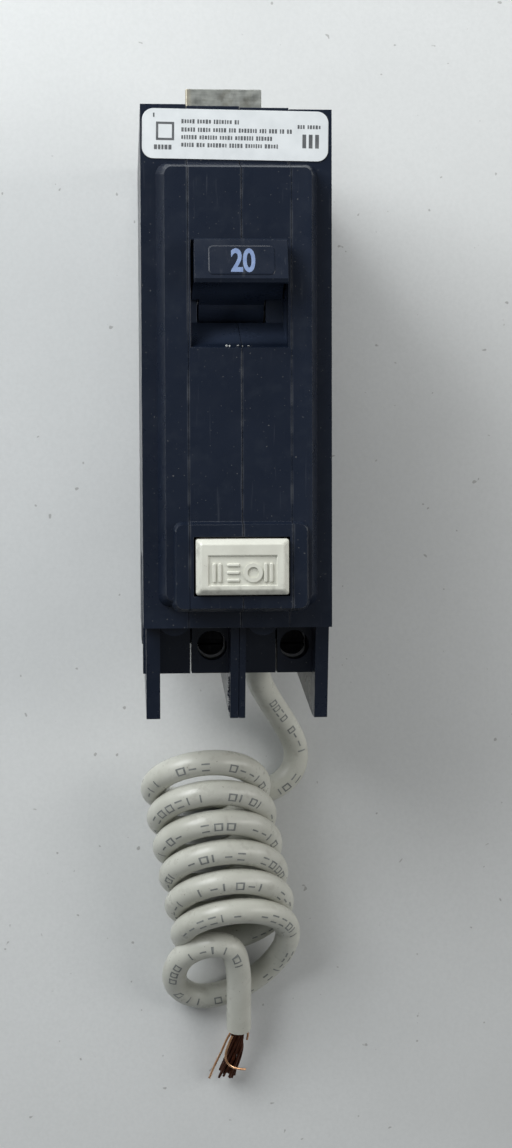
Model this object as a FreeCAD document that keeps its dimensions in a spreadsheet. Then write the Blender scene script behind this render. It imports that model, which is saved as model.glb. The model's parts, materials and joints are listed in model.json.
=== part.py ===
"""A one-pole, one-inch bolt-on ground-fault circuit breaker with its neutral pigtail.

The breaker lies on its back: +X is to its right, +Y points from the load end to the line end, and +Z
points out of the handle face. Z = 0 is the plane that the back rests on, and X = Y = 0 is the middle of
the case and its line terminal. Distances called "along" are measured from the line end of the case
towards the load end. Every size is in millimetres and every angle in degrees.
"""

import FreeCAD, Part
import math
import os
import re

import Sketcher
from FreeCAD import Placement, Rotation, Vector

DIMENSIONS = {
    # the case: four moulded slices, side by side
    "case_width": 25.4,
    "shoulder": 55.0,  # height of the front face beside the nose
    "front_end": 69.0,  # along: where the front face steps down at the load end
    "leg_end": 82.1,  # along: the ends of the barrier legs
    "tab_reach": 9.1,  # how far the line terminal stands out of the line end
    "tab_root": 1.0,
    "seam_left": -6.6,
    "seam_middle": 0.45,
    "seam_right": 7.0,
    "seam_gap": 0.05,
    "slit_left": -5.92,  # the seams between the terminal platforms
    "slit_right": 6.04,
    "slit_gap": 0.22,
    "wall": 1.2,
    "front_wall": 2.0,
    "overhang": 0.4,  # how far the left cover stands past the nominal line end
    "line_step": 0.18,  # each slice to its right ends this much further back
    # the nose, the raised middle of the front face
    "nose_top": 59.0,
    "nose_half": 11.0,
    "nose_start": 7.0,
    "nose_end": 66.4,
    "nose_slope": 1.35,
    "nose_corner": 1.7,
    # the handle's window
    "window_left": -6.25,
    "window_right": 6.5,
    "window_start": 17.8,
    "window_end": 31.8,
    "throat_start": 21.7,
    "throat_end": 27.9,
    "throat_height": 50.0,
    # the raised boss round the test button, and its well
    "boss_left": -9.0,
    "boss_right": 9.4,
    "boss_start": 54.35,
    "boss_end": 66.6,
    "boss_top": 60.6,
    "boss_slope": 0.6,
    "boss_corner": 1.3,
    "well_gap": 0.22,
    # the load end: compartment, platforms, legs, foot and rail slot
    "compartment_start": 60.0,
    "compartment_floor": 24.0,
    "platform_under": 41.5,
    "platform": 45.0,
    "platform_end": 76.2,
    "block_end": 74.0,
    "rail_top": 11.0,
    "rail_bottom": 8.0,
    "rail_depth": 6.0,
    "foot_end": 72.0,
    "leg_thickness": 2.1,
    "leg_inset": 0.4,  # how far the left leg stands in from the side of the case
    "leg_middle": 0.27,
    "leg_front": 51.0,
    "leg_front_end": 48.5,
    "leg_tip": 45.5,
    "leg_back": 78.5,
    "leg_low": 20.0,
    "access_radius": 2.05,
    "bulge_left": -8.5,  # round bulges in the step above the platforms
    "bulge_right": 3.5,
    "bulge_along": 67.9,
    "bulge_radius": 2.3,
    "bulge_top": 53.0,
    # the rivets
    "rivet_radius": 1.2,
    "rivet_head": 2.2,
    "rivet_head_depth": 0.8,
    "rivet_fit": 0.05,
    "rivet_sunk": 0.1,  # how far the heads lie under the case's sides
    # the sticker
    "label_left": -12.5,
    "label_right": 12.2,
    "label_start": 0.15,
    "label_end": 6.7,
    "label_corner": 1.5,
    "label_thickness": 0.15,
    "label_skew": 0.7,  # it was stuck on by hand, a little crooked
    # the handle, tilted towards the line end when on
    "pivot_along": 24.8,
    "pivot_height": 46.5,
    "handle_tilt": 17.0,
    "hub_radius": 3.4,
    "hub_left": -4.9,
    "hub_right": 4.0,
    "pad_left": -5.9,
    "pad_right": 6.2,
    "pad_radius": 16.6,  # from the pivot to the top of the pad
    "pad_line": 2.3,  # how far the pad reaches from its middle to the line side
    "pad_load": 3.8,  # and to the load side, where it is a thin lip
    "pad_chamfer": 0.4,
    "lip": 0.8,
    "stem_half": 1.6,
    "stem_top": 13.4,
    "pin_radius": 1.2,
    "pin_fit": 0.05,
    "ear_reach": 5.3,
    "ear_radius": 1.7,
    "ear_thickness": 1.2,
    "ear_left": -3.6,
    "ear_right": 2.4,
    "small_pin": 0.8,
    "pin_length": 12.2,
    "arm_pin_length": 7.1,
    "armature_pin_left": -5.9,
    "armature_pin_length": 12.3,
    "cradle_pin_left": 3.85,
    # the line terminal and the contacts
    "tab_left": -5.6,
    "tab_right": 5.8,
    "tab_bottom": 19.4,
    "tab_thickness": 1.6,
    "tab_hole_radius": 2.6,
    "tab_hole_from_tip": 5.5,
    "riser": 17.5,  # along: the face of the riser that carries the fixed contact
    "riser_top": 30.5,
    "contact_height": 27.0,
    "contact_radius": 2.0,
    "contact_depth": 1.1,
    "contact_gap": 0.06,
    "arm_left": -1.9,
    "arm_right": 1.9,
    "arm_thickness": 1.5,
    "arm_tip": 24.2,
    "arm_eye": 1.6,
    "arm_waist": 1.1,
    "spring_post": 0.5,
    "spring_post_reach": 2.2,
    "spring_post_along": 21.3,
    "spring_post_height": 31.2,
    # trip parts
    "cradle_along": 12.0,
    "cradle_height": 44.0,
    "cradle_left": 4.3,
    "cradle_thickness": 1.0,
    "armature_along": 40.2,
    "armature_thickness": 1.0,
    "armature_pivot": 15.0,
    "armature_top": 39.0,
    "bimetal_along": 43.0,
    "bimetal_thickness": 0.8,
    "bimetal_half": 3.0,
    "bimetal_bottom": 7.6,
    "bimetal_top": 33.0,
    "armature_left": -3.2,
    "armature_right": 5.4,
    "armature_knuckle": 1.5,
    "armature_slot": 1.3,
    "yoke_left": -4.6,
    "yoke_right": 5.2,
    "yoke_start": 42.4,
    "yoke_end": 46.0,
    "yoke_bottom": 19.5,
    "yoke_top": 28.5,
    "yoke_wall": 1.2,
    "chute_left": -3.8,
    "chute_right": 4.4,
    "chute_start": 20.0,
    "chute_end": 31.0,
    "chute_bottom": 2.5,
    "chute_top": 18.5,
    "chute_side": 1.0,
    "chute_pitch": 3.0,
    "chute_plate": 0.9,
    "chute_notch": 2.0,
    "solenoid_start": 47.5,
    "solenoid_length": 8.0,
    "solenoid_height": 36.5,
    "solenoid_radius": 3.6,
    "bore_radius": 1.35,
    "plunger_radius": 1.28,
    "plunger_core_end": 52.5,
    "plunger_core": 7.0,
    "plunger_rod": 0.7,
    "plunger_head": 1.7,
    "plunger_head_depth": 0.6,
    "sleeve_wall": 0.4,
    "frame_half": 4.2,
    "frame_reach": 4.4,
    "frame_sheet": 0.8,
    "middle": 0.3,  # X of the middle of the mechanism chamber
    # the two toroids
    "toroid_radius": 5.0,
    "toroid_hole": 2.5,
    "toroid_depth": 3.6,
    "toroid_height": 9.0,
    "toroid_first": 46.6,
    "toroid_pitch": 4.6,
    # the conductors of both sides
    "strap_half": 3.6,
    "bar_half": 1.2,
    "neutral_half": 1.0,
    "bar_room": 0.3,
    "bar_fit": 0.1,
    "bar_bottom": 33.0,
    "bar_top": 34.0,
    "bar_sheet": 0.8,
    "power_drop": 57.1,
    "neutral_drop": 56.0,
    "link_radius": 0.8,
    "braid_radius": 0.7,
    "splice_left": 0.6,
    "splice_right": 5.7,
    "splice_start": 44.6,
    "splice_end": 45.4,
    # the lugs and their screws
    "lug_start": 66.0,
    "lug_end": 75.2,
    "lug_bottom": 25.0,
    "lug_top": 37.0,
    "lug_half": 2.15,
    "lug_bore": 1.55,
    "lug_bore_height": 28.6,
    "screw_along": 72.3,
    "screw_radius": 1.1,
    "screw_fit": 0.05,
    "screw_tip": 31.0,
    "screw_head": 1.85,
    "screw_head_bottom": 37.6,
    "screw_head_top": 40.2,
    "power_x": -3.05,
    "neutral_x": 8.5,
    "screw_slot": 0.3,
    "screw_slot_depth": 0.9,
    # the test button
    "button_left": -5.85,
    "button_right": 6.35,
    "button_start": 56.8,
    "button_end": 64.15,
    "button_top": 62.1,
    "button_rim": 0.7,
    "button_corner": 0.35,
    "panel_left": -4.25,  # the shallow panel sunk into the button's face
    "panel_right": 4.75,
    "panel_start": 59.0,
    "panel_end": 62.9,
    "panel_depth": 0.3,
    "button_bottom": 56.0,
    "stem_left": -1.2,
    "stem_right": 1.8,
    "stem_start": 59.0,
    "stem_end": 62.0,
    "stem_bottom": 49.5,
    "flange_line": 1.5,  # how far the guide flange stands out on the line side
    "flange_load": 0.8,
    "blade_left": -3.4,
    "blade_right": 2.2,
    "blade_start": 53.0,
    "blade_end": 66.5,
    "blade_height": 47.5,
    "blade_sheet": 0.4,
    "post_start": 64.5,
    "post_gap": 0.6,
    "shelf": 42.7,  # the floor of the hollow under the button
    "seat_left": 3.0,
    "seat_right": 5.4,
    "seat_top": 46.5,
    "spring_radius": 0.9,
    "spring_wire": 0.2,
    # the circuit board
    "board_left": 7.3,
    "board_thickness": 1.0,
    "board_start": 8.0,
    "board_end": 52.0,
    "board_low": 5.0,
    "board_high": 44.0,
    "chip_height": 2.0,
    "thyristor_height": 2.4,
    "varistor_radius": 4.2,
    "varistor_height": 2.3,
    "capacitor_radius": 1.45,
    "capacitor_length": 8.0,
    "resistor_radius": 0.9,
    "resistor_length": 6.0,
    "resistor_pitch": 3.4,
    # the pigtail
    "wire_radius": 2.0,
    "exit_x": 4.5,
    "exit_height": 17.0,
    "coil_radius": 8.3,
    "coil_pitch": 4.79,
    "coil_lean": 36.5,
    "coil_drift": 11.0,
    "coil_turns": 5.5,
    "strand_radius": 0.28,
    "strand_spread": 0.62,
    # a length that passes right through any piece of the inside
    "through": 40.0,
    # the passages between the hollows of the case
    "wireway_start": 54.6,
    "wireway_end": 58.5,
    "wireway_bottom": 4.0,
    "wireway_top": 14.0,
    "pigtail_bore_depth": 30.0,
}

doc = FreeCAD.newDocument("gfci_breaker")
sheet = doc.addObject("Spreadsheet::Sheet", "Dims")
for row, (alias, size) in enumerate(DIMENSIONS.items(), start=1):
    sheet.set(f"A{row}", alias)
    sheet.set(f"B{row}", str(size))
    sheet.setAlias(f"B{row}", alias)
doc.recompute()

TURNS = {
    "x": Rotation(Vector(0, 1, 0), 90),
    "y": Rotation(Vector(1, 0, 0), -90),
    "z": Rotation(),
}
NODES = []


def formula(text):
    """An expression, with each dimension's name pointed at the sheet."""
    return re.sub(
        r"[a-z][a-z_]*",
        lambda word: "Dims." + word.group() if word.group() in DIMENSIONS else word.group(),
        text,
    )


def value(text):
    """The number that an expression gives."""
    return float(sheet.evalExpression(formula(text)))


def bind(item, name, text):
    """Bind a property of an object to an expression of the sheet's dimensions."""
    item.setExpression(name, formula(text))


def at(along):
    """The Y of a distance along the case, as an expression."""
    return f"((leg_end - tab_reach) / 2 - ({along}))"


def node(item, label):
    """Keep an object as one of the breaker's sub-parts, under the name of its file."""
    item.Label = label
    NODES.append(item)
    return item


# ---------------------------------------------------------------- builders


def box(name, x, along, z):
    """A block from three pairs of expressions; the second pair is measured along the case."""
    item = doc.addObject("Part::Box", name)
    near, far = at(along[1]), at(along[0])
    for size, axis, (low, high) in zip(
        ("Length", "Width", "Height"), "xyz", (x, (near, far), z)
    ):
        bind(item, size, f"({high}) - ({low})")
        bind(item, f"Placement.Base.{axis}", low)
    return item


def cylinder(name, axis, radius, length, x, along, z):
    """A cylinder along an axis, from the centre of its lowest end face."""
    item = doc.addObject("Part::Cylinder", name)
    item.Placement = Placement(Vector(), TURNS[axis])
    bind(item, "Radius", radius)
    bind(item, "Height", length)
    for letter, place in zip("xyz", (x, at(along), z)):
        bind(item, f"Placement.Base.{letter}", place)
    return item


def plate(name, corners, low, high):
    """A body whose outline lies in the YZ plane, padded along X from low to high."""
    body = doc.addObject("PartDesign::Body", name)
    outline = body.newObject("Sketcher::SketchObject", name + "_outline")
    plane = next(p for p in body.Origin.OriginFeatures if p.Role == "YZ_Plane")
    outline.AttachmentSupport = [(plane, "")]
    outline.MapMode = "FlatFace"
    bind(outline, "AttachmentOffset.Base.z", low)
    places = [(at(along), height) for along, height in corners]
    points = [Vector(value(a), value(b), 0) for a, b in places]
    for start, end in zip(points, points[1:] + points[:1]):
        outline.addGeometry(Part.LineSegment(start, end))
    for i in range(len(points)):
        after = (i + 1) % len(points)
        outline.addConstraint(Sketcher.Constraint("Coincident", i, 2, after, 1))
    for i, place in enumerate(places):
        for kind, text, axis in zip(("DistanceX", "DistanceY"), place, (-2, -1)):
            if abs(value(text)) < 1e-9:
                outline.addConstraint(Sketcher.Constraint("PointOnObject", i, 1, axis))
            else:
                fixed = Sketcher.Constraint(kind, -1, 1, i, 1, value(text))
                bind(outline, f"Constraints[{outline.addConstraint(fixed)}]", text)
    pad = body.newObject("PartDesign::Pad", name + "_pad")
    pad.Profile = outline
    bind(pad, "Length", f"({high}) - ({low})")
    body.Tip = pad
    return body


def fillet(name, base, radius, chosen):
    """Round the edges of base that chosen(edge) picks."""
    doc.recompute()
    item = doc.addObject("Part::Fillet", name)
    item.Base = base
    size = value(radius)
    item.Edges = [
        (i, size, size) for i, edge in enumerate(base.Shape.Edges, start=1) if chosen(edge)
    ]
    return item


def upright(edge):
    """Whether a straight edge runs closer to Z than to the floor plane."""
    start, end = edge.Vertexes[0].Point, edge.Vertexes[-1].Point
    return abs((end - start).normalize().z) > 0.7


def fuse(name, *shapes):
    item = doc.addObject("Part::MultiFuse", name)
    item.Shapes = list(shapes)
    return item


def cut(name, base, *tools):
    item = doc.addObject("Part::Cut", name)
    item.Base = base
    item.Tool = tools[0] if len(tools) == 1 else fuse(name + "_tools", *tools)
    return item


def common(name, base, tool):
    item = doc.addObject("Part::Common", name)
    item.Base = base
    item.Tool = tool
    return item


def feature(name, shape):
    """A shape made with Part's own functions, where no primitive fits."""
    item = doc.addObject("Part::Feature", name)
    item.Shape = shape
    return item


def point(x, along, z):
    """A point from numbers: X, the distance along the case, and the height."""
    return Vector(x, value(at(str(along))), z)


# ---------------------------------------------------------------- the case


def raised(name, x, along, z, slope, corner):
    """A plateau with sloped sides and rounded corners: a loft between two rounded outlines."""
    outlines = []
    for height, inset in ((z[0], 0.0), (z[1], value(slope))):
        low = Vector(value(x[0]) + inset, value(at(along[1])) + inset, value(height))
        wide = value(x[1]) - value(x[0]) - 2 * inset
        deep = value(along[1]) - value(along[0]) - 2 * inset
        rectangle = Part.makePlane(wide, deep, low)
        radius = max(value(corner) - inset * 0.5, 0.3)
        rounded = rectangle.OuterWire
        solid = Part.Face(rounded).extrude(Vector(0, 0, 1))
        solid = solid.makeFillet(radius, [e for e in solid.Edges if upright(e)])
        base = min(solid.Faces, key=lambda face: face.CenterOfMass.z)
        outlines.append(base.OuterWire)
    return feature(name, Part.makeLoft(outlines, True, True))


def case_form():
    """The outer form of the whole case, before it is sliced into its four mouldings."""
    half = "case_width / 2"
    block = plate(
        "case_block",
        [
            ("-overhang", "0"),
            ("-overhang", "shoulder"),
            ("front_end", "shoulder"),
            ("front_end", "platform"),
            ("platform_end", "platform"),
            ("platform_end", "platform_under"),
            ("compartment_start", "platform_under"),
            ("compartment_start", "compartment_floor"),
            ("block_end", "compartment_floor"),
            ("block_end", "rail_top"),
            ("block_end - rail_depth", "rail_top"),
            ("block_end - rail_depth", "rail_bottom"),
            ("foot_end", "rail_bottom"),
            ("foot_end", "0"),
        ],
        "-" + half,
        half,
    )
    legs = [
        plate(
            name,
            [
                ("compartment_start - wall", "leg_low"),
                ("compartment_start - wall", "leg_front"),
                ("front_end", "leg_front"),
                ("leg_end", "leg_front_end"),
                ("leg_end", "leg_tip"),
                ("leg_back", "leg_low"),
            ],
            low,
            high,
        )
        for name, low, high in (
            ("leg_left", f"leg_inset - {half}", f"leg_inset + leg_thickness * 0.9 - {half}"),
            ("leg_centre", "leg_middle - leg_thickness / 2", "leg_middle + leg_thickness / 2"),
            ("leg_right", f"{half} - leg_thickness * 0.86", half),
        )
    ]
    nose = raised(
        "nose",
        ("-nose_half", "nose_half"),
        ("nose_start", "nose_end"),
        ("shoulder - wall", "nose_top"),
        "nose_slope",
        "nose_corner",
    )
    boss = raised(
        "boss",
        ("boss_left", "boss_right"),
        ("boss_start", "boss_end"),
        ("nose_top - wall", "boss_top"),
        "boss_slope",
        "boss_corner",
    )
    bulges = [
        cylinder(name, "z", "bulge_radius", "bulge_top - platform", x, "bulge_along", "platform")
        for name, x in (("bulge_left", "bulge_left"), ("bulge_right", "bulge_right"))
    ]
    return fuse("case_form", block, *legs, *bulges, nose, boss)


def chamber(name, low, high, ceiling):
    """The hollow inside a slice, up to a ceiling; the funnel of the handle's window stays standing."""
    return plate(
        name,
        [
            ("wall", "wall"),
            ("wall", "shoulder - front_wall"),
            ("nose_start + wall", "shoulder - front_wall"),
            ("nose_start + wall", ceiling),
            ("window_start - wall", ceiling),
            ("throat_start - wall", "throat_height - wall"),
            ("throat_end + wall", "throat_height - wall"),
            ("window_end + wall", ceiling),
            ("nose_end - wall", ceiling),
            ("nose_end - wall", "shoulder - front_wall"),
            ("front_end - wall", "shoulder - front_wall"),
            ("front_end - wall", "platform_under + wall"),
            ("compartment_start - wall", "platform_under + wall"),
            ("compartment_start - wall", "wall"),
        ],
        low,
        high,
    )


# where the rivets cross the case: along and height, in millimetres
RIVETS = ((4.2, 5.0), (4.2, 48.5), (37.5, 52.5), (64.0, 5.0))


def case_holes():
    """Everything that is cut out of the case form."""
    half = "case_width / 2"
    holes = [
        chamber("left_chamber", f"wall - {half}", "seam_left", "shoulder - front_wall + 0.01"),
        chamber("mechanism_chamber", "seam_left + wall", "seam_right - wall", "nose_top - wall"),
        chamber("right_chamber", "seam_right", f"{half} - wall", "shoulder - front_wall + 0.01"),
        plate(
            "window",
            [
                ("window_start", "nose_top + 1"),
                ("window_start", "nose_top"),
                ("throat_start", "throat_height"),
                ("throat_end", "throat_height"),
                ("window_end", "nose_top"),
                ("window_end", "nose_top + 1"),
            ],
            "window_left",
            "window_right",
        ),
        box(
            "throat",
            ("hub_left - well_gap", "hub_right + well_gap"),
            ("throat_start", "throat_end"),
            ("throat_height - 2 * wall", "throat_height + 0.1"),
        ),
        box(
            "button_well",
            ("button_left - well_gap", "button_right + well_gap"),
            ("button_start - well_gap", "button_end + well_gap"),
            ("shoulder - 4", "boss_top + 1"),
        ),
        box(
            "tab_slot",
            ("tab_left - 0.1", "tab_right + 0.1"),
            ("-1", "wall + 1"),
            ("tab_bottom - 0.1", "tab_bottom + tab_thickness + 0.1"),
        ),
        box(
            "partition_window",
            ("seam_right - 2 * wall", "seam_right + 0.2"),
            ("wireway_start", "wireway_end"),
            ("wireway_bottom", "wireway_top"),
        ),
        box(
            "power_slot",
            ("power_x - bar_half - bar_room", "power_x + bar_half + bar_room"),
            ("compartment_start - 2 * wall", "compartment_start + 1"),
            ("bar_bottom - bar_fit", "bar_top + bar_fit"),
        ),
        box(
            "neutral_slot",
            ("neutral_x - neutral_half - bar_room", "neutral_x + neutral_half + bar_room"),
            ("compartment_start - 2 * wall", "compartment_start + 1"),
            ("bar_bottom - bar_fit", "bar_top + bar_fit"),
        ),
        cylinder(
            "pigtail_bore", "y", "wire_radius + pin_fit", "pigtail_bore_depth",
            "exit_x", "block_end + 1", "exit_height",
        ),
    ]
    for name, x in (("power", "power_x"), ("neutral", "neutral_x")):
        holes.append(
            cylinder(
                name + "_access", "z", "access_radius", "6", x, "screw_along", "platform - 5"
            )
        )
    for number, (along, height) in enumerate(RIVETS, start=1):
        hole = f"rivet_hole_{number}"
        holes.append(
            cylinder(
                hole, "x", "rivet_radius + rivet_fit", "through", "-through / 2", str(along), str(height)
            )
        )
        for side, start in (("left", f"-{half} - 1"), ("right", f"{half} - rivet_head_depth")):
            sink = cylinder(
                f"{hole}_{side}",
                "x",
                "rivet_head + rivet_fit",
                "rivet_head_depth + 1",
                start,
                str(along),
                str(height),
            )
            holes.append(sink)
    for name, radius, along, height in (
        ("pivot_seats", "pin_radius", "pivot_along", "pivot_height"),
        ("armature_seats", "small_pin", "armature_along + armature_thickness / 2", "armature_pivot"),
        ("cradle_seat", "small_pin", "cradle_along", "cradle_height"),
    ):
        low = "0" if name == "cradle_seat" else "seam_left + wall / 2"
        high = "seam_right - wall / 2"
        holes.append(cylinder(name, "x", radius, f"{high} - ({low})", low, along, height))
    return holes


def case_slices():
    """The four mouldings: slices of the hollowed case form between the seams."""
    hollow = cut("hollow_case", case_form(), *case_holes())
    half = "case_width / 2"
    limits = (
        ("left_cover", f"-{half} - 1", "seam_left - seam_gap", "slit_left - slit_gap"),
        ("left_housing", "seam_left", "seam_middle - seam_gap", "seam_middle - seam_gap"),
        ("right_housing", "seam_middle", "seam_right - seam_gap", "slit_right - slit_gap"),
        ("right_cover", "seam_right", f"{half} + 1", f"{half} + 1"),
    )
    starts = {"left_housing": "slit_left", "right_cover": "slit_right"}
    for number, (name, low, high, high_at_load) in enumerate(limits):
        line_end = f"line_step * {number} - overhang"
        low_at_load = starts.get(name, low)
        main = box(name + "_slab", (low, high), (line_end, "front_end"), ("-1", "nose_top + 5"))
        load = box(
            name + "_load_slab",
            (low_at_load, high_at_load),
            ("front_end", "leg_end + 1"),
            ("-1", "nose_top + 5"),
        )
        node(common(name, hollow, fuse(name + "_slabs", main, load)), name)


def rivets():
    """Four rivets through all the slices, with both heads sunk flush."""
    half = "case_width / 2"
    pieces = []
    for number, (along, height) in enumerate(RIVETS, start=1):
        name = f"rivet_{number}"
        shank = cylinder(
            name + "_shank", "x", "rivet_radius", "case_width - 2 * rivet_sunk",
            f"rivet_sunk - {half}", str(along), str(height),
        )
        heads = [
            cylinder(
                f"{name}_{side}", "x", "rivet_head", "rivet_head_depth - rivet_sunk",
                start, str(along), str(height),
            )
            for side, start in (
                ("left", f"rivet_sunk - {half}"),
                ("right", f"{half} - rivet_head_depth"),
            )
        ]
        pieces.append(fuse(name, shank, *heads))
    group = doc.addObject("Part::Compound", "case_rivets")
    group.Links = pieces
    node(group, "case_rivets")


def label():
    """The sticker on the line end of the front face."""
    sheet_of_label = box(
        "label_blank",
        ("label_left", "label_right"),
        ("label_start", "label_end"),
        ("shoulder", "shoulder + label_thickness"),
    )
    sheet_of_label.Placement.Rotation = Rotation(Vector(0, 0, 1), -value("label_skew"))
    node(fillet("rating_label", sheet_of_label, "label_corner", upright), "rating_label")


# ---------------------------------------------------------------- the handle and the contacts


def tilted(item):
    """Turn an object, drawn upright over the handle's pivot, to the handle's on position."""
    centre = Vector(0, value(at("pivot_along")), value("pivot_height"))
    turn = Rotation(Vector(1, 0, 0), -value("handle_tilt"))
    item.Placement = Placement(Vector(), turn, centre)
    return item


def handle():
    """The toggle: hub, stem, numbered pad and the two ears that carry the contact arm."""
    centre = ("pivot_along", "pivot_height")
    lever = plate(
        "handle_lever",
        [
            ("pivot_along + stem_half", "pivot_height"),
            ("pivot_along + stem_half", "pivot_height + stem_top - 1.2"),
            ("pivot_along + pad_load", "pivot_height + pad_radius - lip"),
            ("pivot_along + pad_load", "pivot_height + pad_radius - pad_chamfer"),
            ("pivot_along + pad_load - pad_chamfer", "pivot_height + pad_radius"),
            ("pivot_along - pad_line + pad_chamfer", "pivot_height + pad_radius"),
            ("pivot_along - pad_line", "pivot_height + pad_radius - pad_chamfer"),
            ("pivot_along - pad_line", "pivot_height + stem_top"),
            ("pivot_along - stem_half", "pivot_height + stem_top - 1.2"),
            ("pivot_along - stem_half", "pivot_height"),
        ],
        "pad_left",
        "pad_right",
    )
    waist = box(
        "handle_waist",
        ("pad_left - 1", "pad_right + 1"),
        ("pivot_along - 6", "pivot_along + 6"),
        ("pivot_height - 6", "throat_height + 1.3"),
    )
    keep = box(
        "handle_waist_core",
        ("hub_left", "hub_right"),
        ("pivot_along - 6", "pivot_along + 6"),
        ("pivot_height - 6", "throat_height + 1.3"),
    )
    shaped = cut("handle_stem", lever, cut("handle_waist_sides", waist, keep))
    hub = cylinder("handle_hub", "x", "hub_radius", "hub_right - hub_left", "hub_left", *centre)
    ears = []
    for side in ("left", "right"):
        low = "ear_" + side
        ears.append(
            cylinder(
                f"ear_{side}_tip",
                "x",
                "ear_radius",
                "ear_thickness",
                low,
                "pivot_along",
                "pivot_height - ear_reach",
            )
        )
        ears.append(
            box(
                f"ear_{side}_web",
                (low, low + " + ear_thickness"),
                ("pivot_along - ear_radius", "pivot_along + ear_radius"),
                ("pivot_height - ear_reach", "pivot_height"),
            )
        )
    bore = cylinder("handle_bore", "x", "pin_radius + pin_fit", "through", "-through / 2", *centre)
    arm_bore = cylinder(
        "handle_arm_bore", "x", "small_pin", "through", "-through / 2",
        "pivot_along", "pivot_height - ear_reach",
    )
    solid = fuse("handle_solid", shaped, hub, *ears)
    node(tilted(cut("handle", solid, bore, arm_bore)), "handle")
    pin = cylinder(
        "handle_pin", "x", "pin_radius", "pin_length", "seam_left + wall / 2 + 0.05", *centre
    )
    node(pin, "handle_pin")
    arm_pin = cylinder("arm_pin", "x", "small_pin", "arm_pin_length", "ear_left", *arm_pivot())
    node(arm_pin, "arm_pin")


def arm_pivot():
    """Where the contact arm hangs on the handle's ears: the distance along and the height."""
    return (
        "pivot_along + ear_reach * sin(handle_tilt)",
        "pivot_height - ear_reach * cos(handle_tilt)",
    )


def contacts():
    """The line terminal with its riser, both contacts, and the arm that carries the moving one."""
    flat = box(
        "terminal_tab",
        ("tab_left", "tab_right"),
        ("-tab_reach", "tab_root"),
        ("tab_bottom", "tab_bottom + tab_thickness"),
    )
    strap = box(
        "terminal_strap",
        ("middle - strap_half", "middle + strap_half"),
        ("tab_root / 2", "riser"),
        ("tab_bottom", "tab_bottom + tab_thickness"),
    )
    riser = box(
        "terminal_riser",
        ("middle - strap_half", "middle + strap_half"),
        ("riser - tab_thickness", "riser"),
        ("tab_bottom", "riser_top"),
    )
    hole = cylinder(
        "terminal_hole",
        "z",
        "tab_hole_radius",
        "tab_thickness + 2",
        "(tab_left + tab_right) / 2",
        "tab_hole_from_tip - tab_reach",
        "tab_bottom - 1",
    )
    node(cut("line_terminal", fuse("terminal", flat, strap, riser), hole), "line_terminal")
    fixed = cylinder(
        "fixed_contact",
        "y",
        "contact_radius",
        "contact_depth",
        "0",
        "riser + contact_depth",
        "contact_height",
    )
    node(fixed, "fixed_contact")
    face = "riser + 2 * contact_depth + contact_gap"
    moving = cylinder(
        "moving_contact", "y", "contact_radius", "contact_depth", "0", face, "contact_height"
    )
    node(moving, "moving_contact")
    pivot_along, pivot_height = arm_pivot()
    blade = plate(
        "arm_blade",
        [
            (face, "arm_tip"),
            (face, "contact_height + 3"),
            (f"{pivot_along} - arm_waist", f"{pivot_height} + 0.4"),
            (f"{pivot_along} + arm_waist", f"{pivot_height} - 0.4"),
            (face + " + arm_thickness", "contact_height + 2.6"),
            (face + " + arm_thickness", "arm_tip"),
        ],
        "arm_left",
        "arm_right",
    )
    eye = cylinder(
        "arm_eye", "x", "arm_eye", "arm_right - arm_left", "arm_left", pivot_along, pivot_height
    )
    hook = cylinder(
        "arm_spring_post", "x", "spring_post", "spring_post_reach",
        "0", "spring_post_along", "spring_post_height",
    )
    bore = cylinder(
        "arm_bore", "x", "small_pin + pin_fit", "through", "-through / 2", pivot_along, pivot_height
    )
    node(cut("contact_arm", fuse("arm_solid", blade, eye, hook), bore), "contact_arm")


def cradle():
    """The trip lever, its pin, and the operating spring that pulls on it."""
    lever = plate(
        "cradle_lever",
        [
            ("cradle_along - 1.8", "cradle_height - 1.8"),
            ("cradle_along - 1.8", "cradle_height + 1.8"),
            ("cradle_along + 5", "cradle_height + 1.6"),
            ("34", "43.2"),
            ("39.8", "39.6"),
            ("39.8", "37.4"),
            ("33", "38.6"),
            ("20", "40"),
        ],
        "cradle_left",
        "cradle_left + cradle_thickness",
    )
    anchor = cylinder("cradle_anchor", "x", "0.6", "2.2", "cradle_left - 2", "35", "41.2")
    bore = cylinder(
        "cradle_bore", "x", "small_pin + pin_fit", "through", "-through / 2",
        "cradle_along", "cradle_height",
    )
    node(cut("cradle", fuse("cradle_solid", lever, anchor), bore), "cradle")
    pin = cylinder(
        "cradle_pin",
        "x",
        "small_pin",
        "seam_right - wall / 2 - pin_fit - cradle_pin_left",
        "cradle_pin_left",
        "cradle_along",
        "cradle_height",
    )
    node(pin, "cradle_pin")
    start, end = point(3.2, 22.7, 32.2), point(3.2, 33.9, 40.5)
    node(feature("operating_spring", spring(start, end, 0.75, 0.22, 9)), "operating_spring")


def spring(start, end, radius, wire, turns):
    """A close helical spring of round wire between two points."""
    length = (end - start).Length
    helix = Part.makeHelix(length / turns, length, radius)
    ring = Part.Wire(Part.makeCircle(wire, Vector(radius, 0, 0), Vector(0, 1, 0)))
    coil = Part.Wire(helix.Edges).makePipeShell([ring], True, True)
    coil.Placement = Placement(start, Rotation(Vector(0, 0, 1), end - start))
    return coil


# ---------------------------------------------------------------- the trip unit


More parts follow.
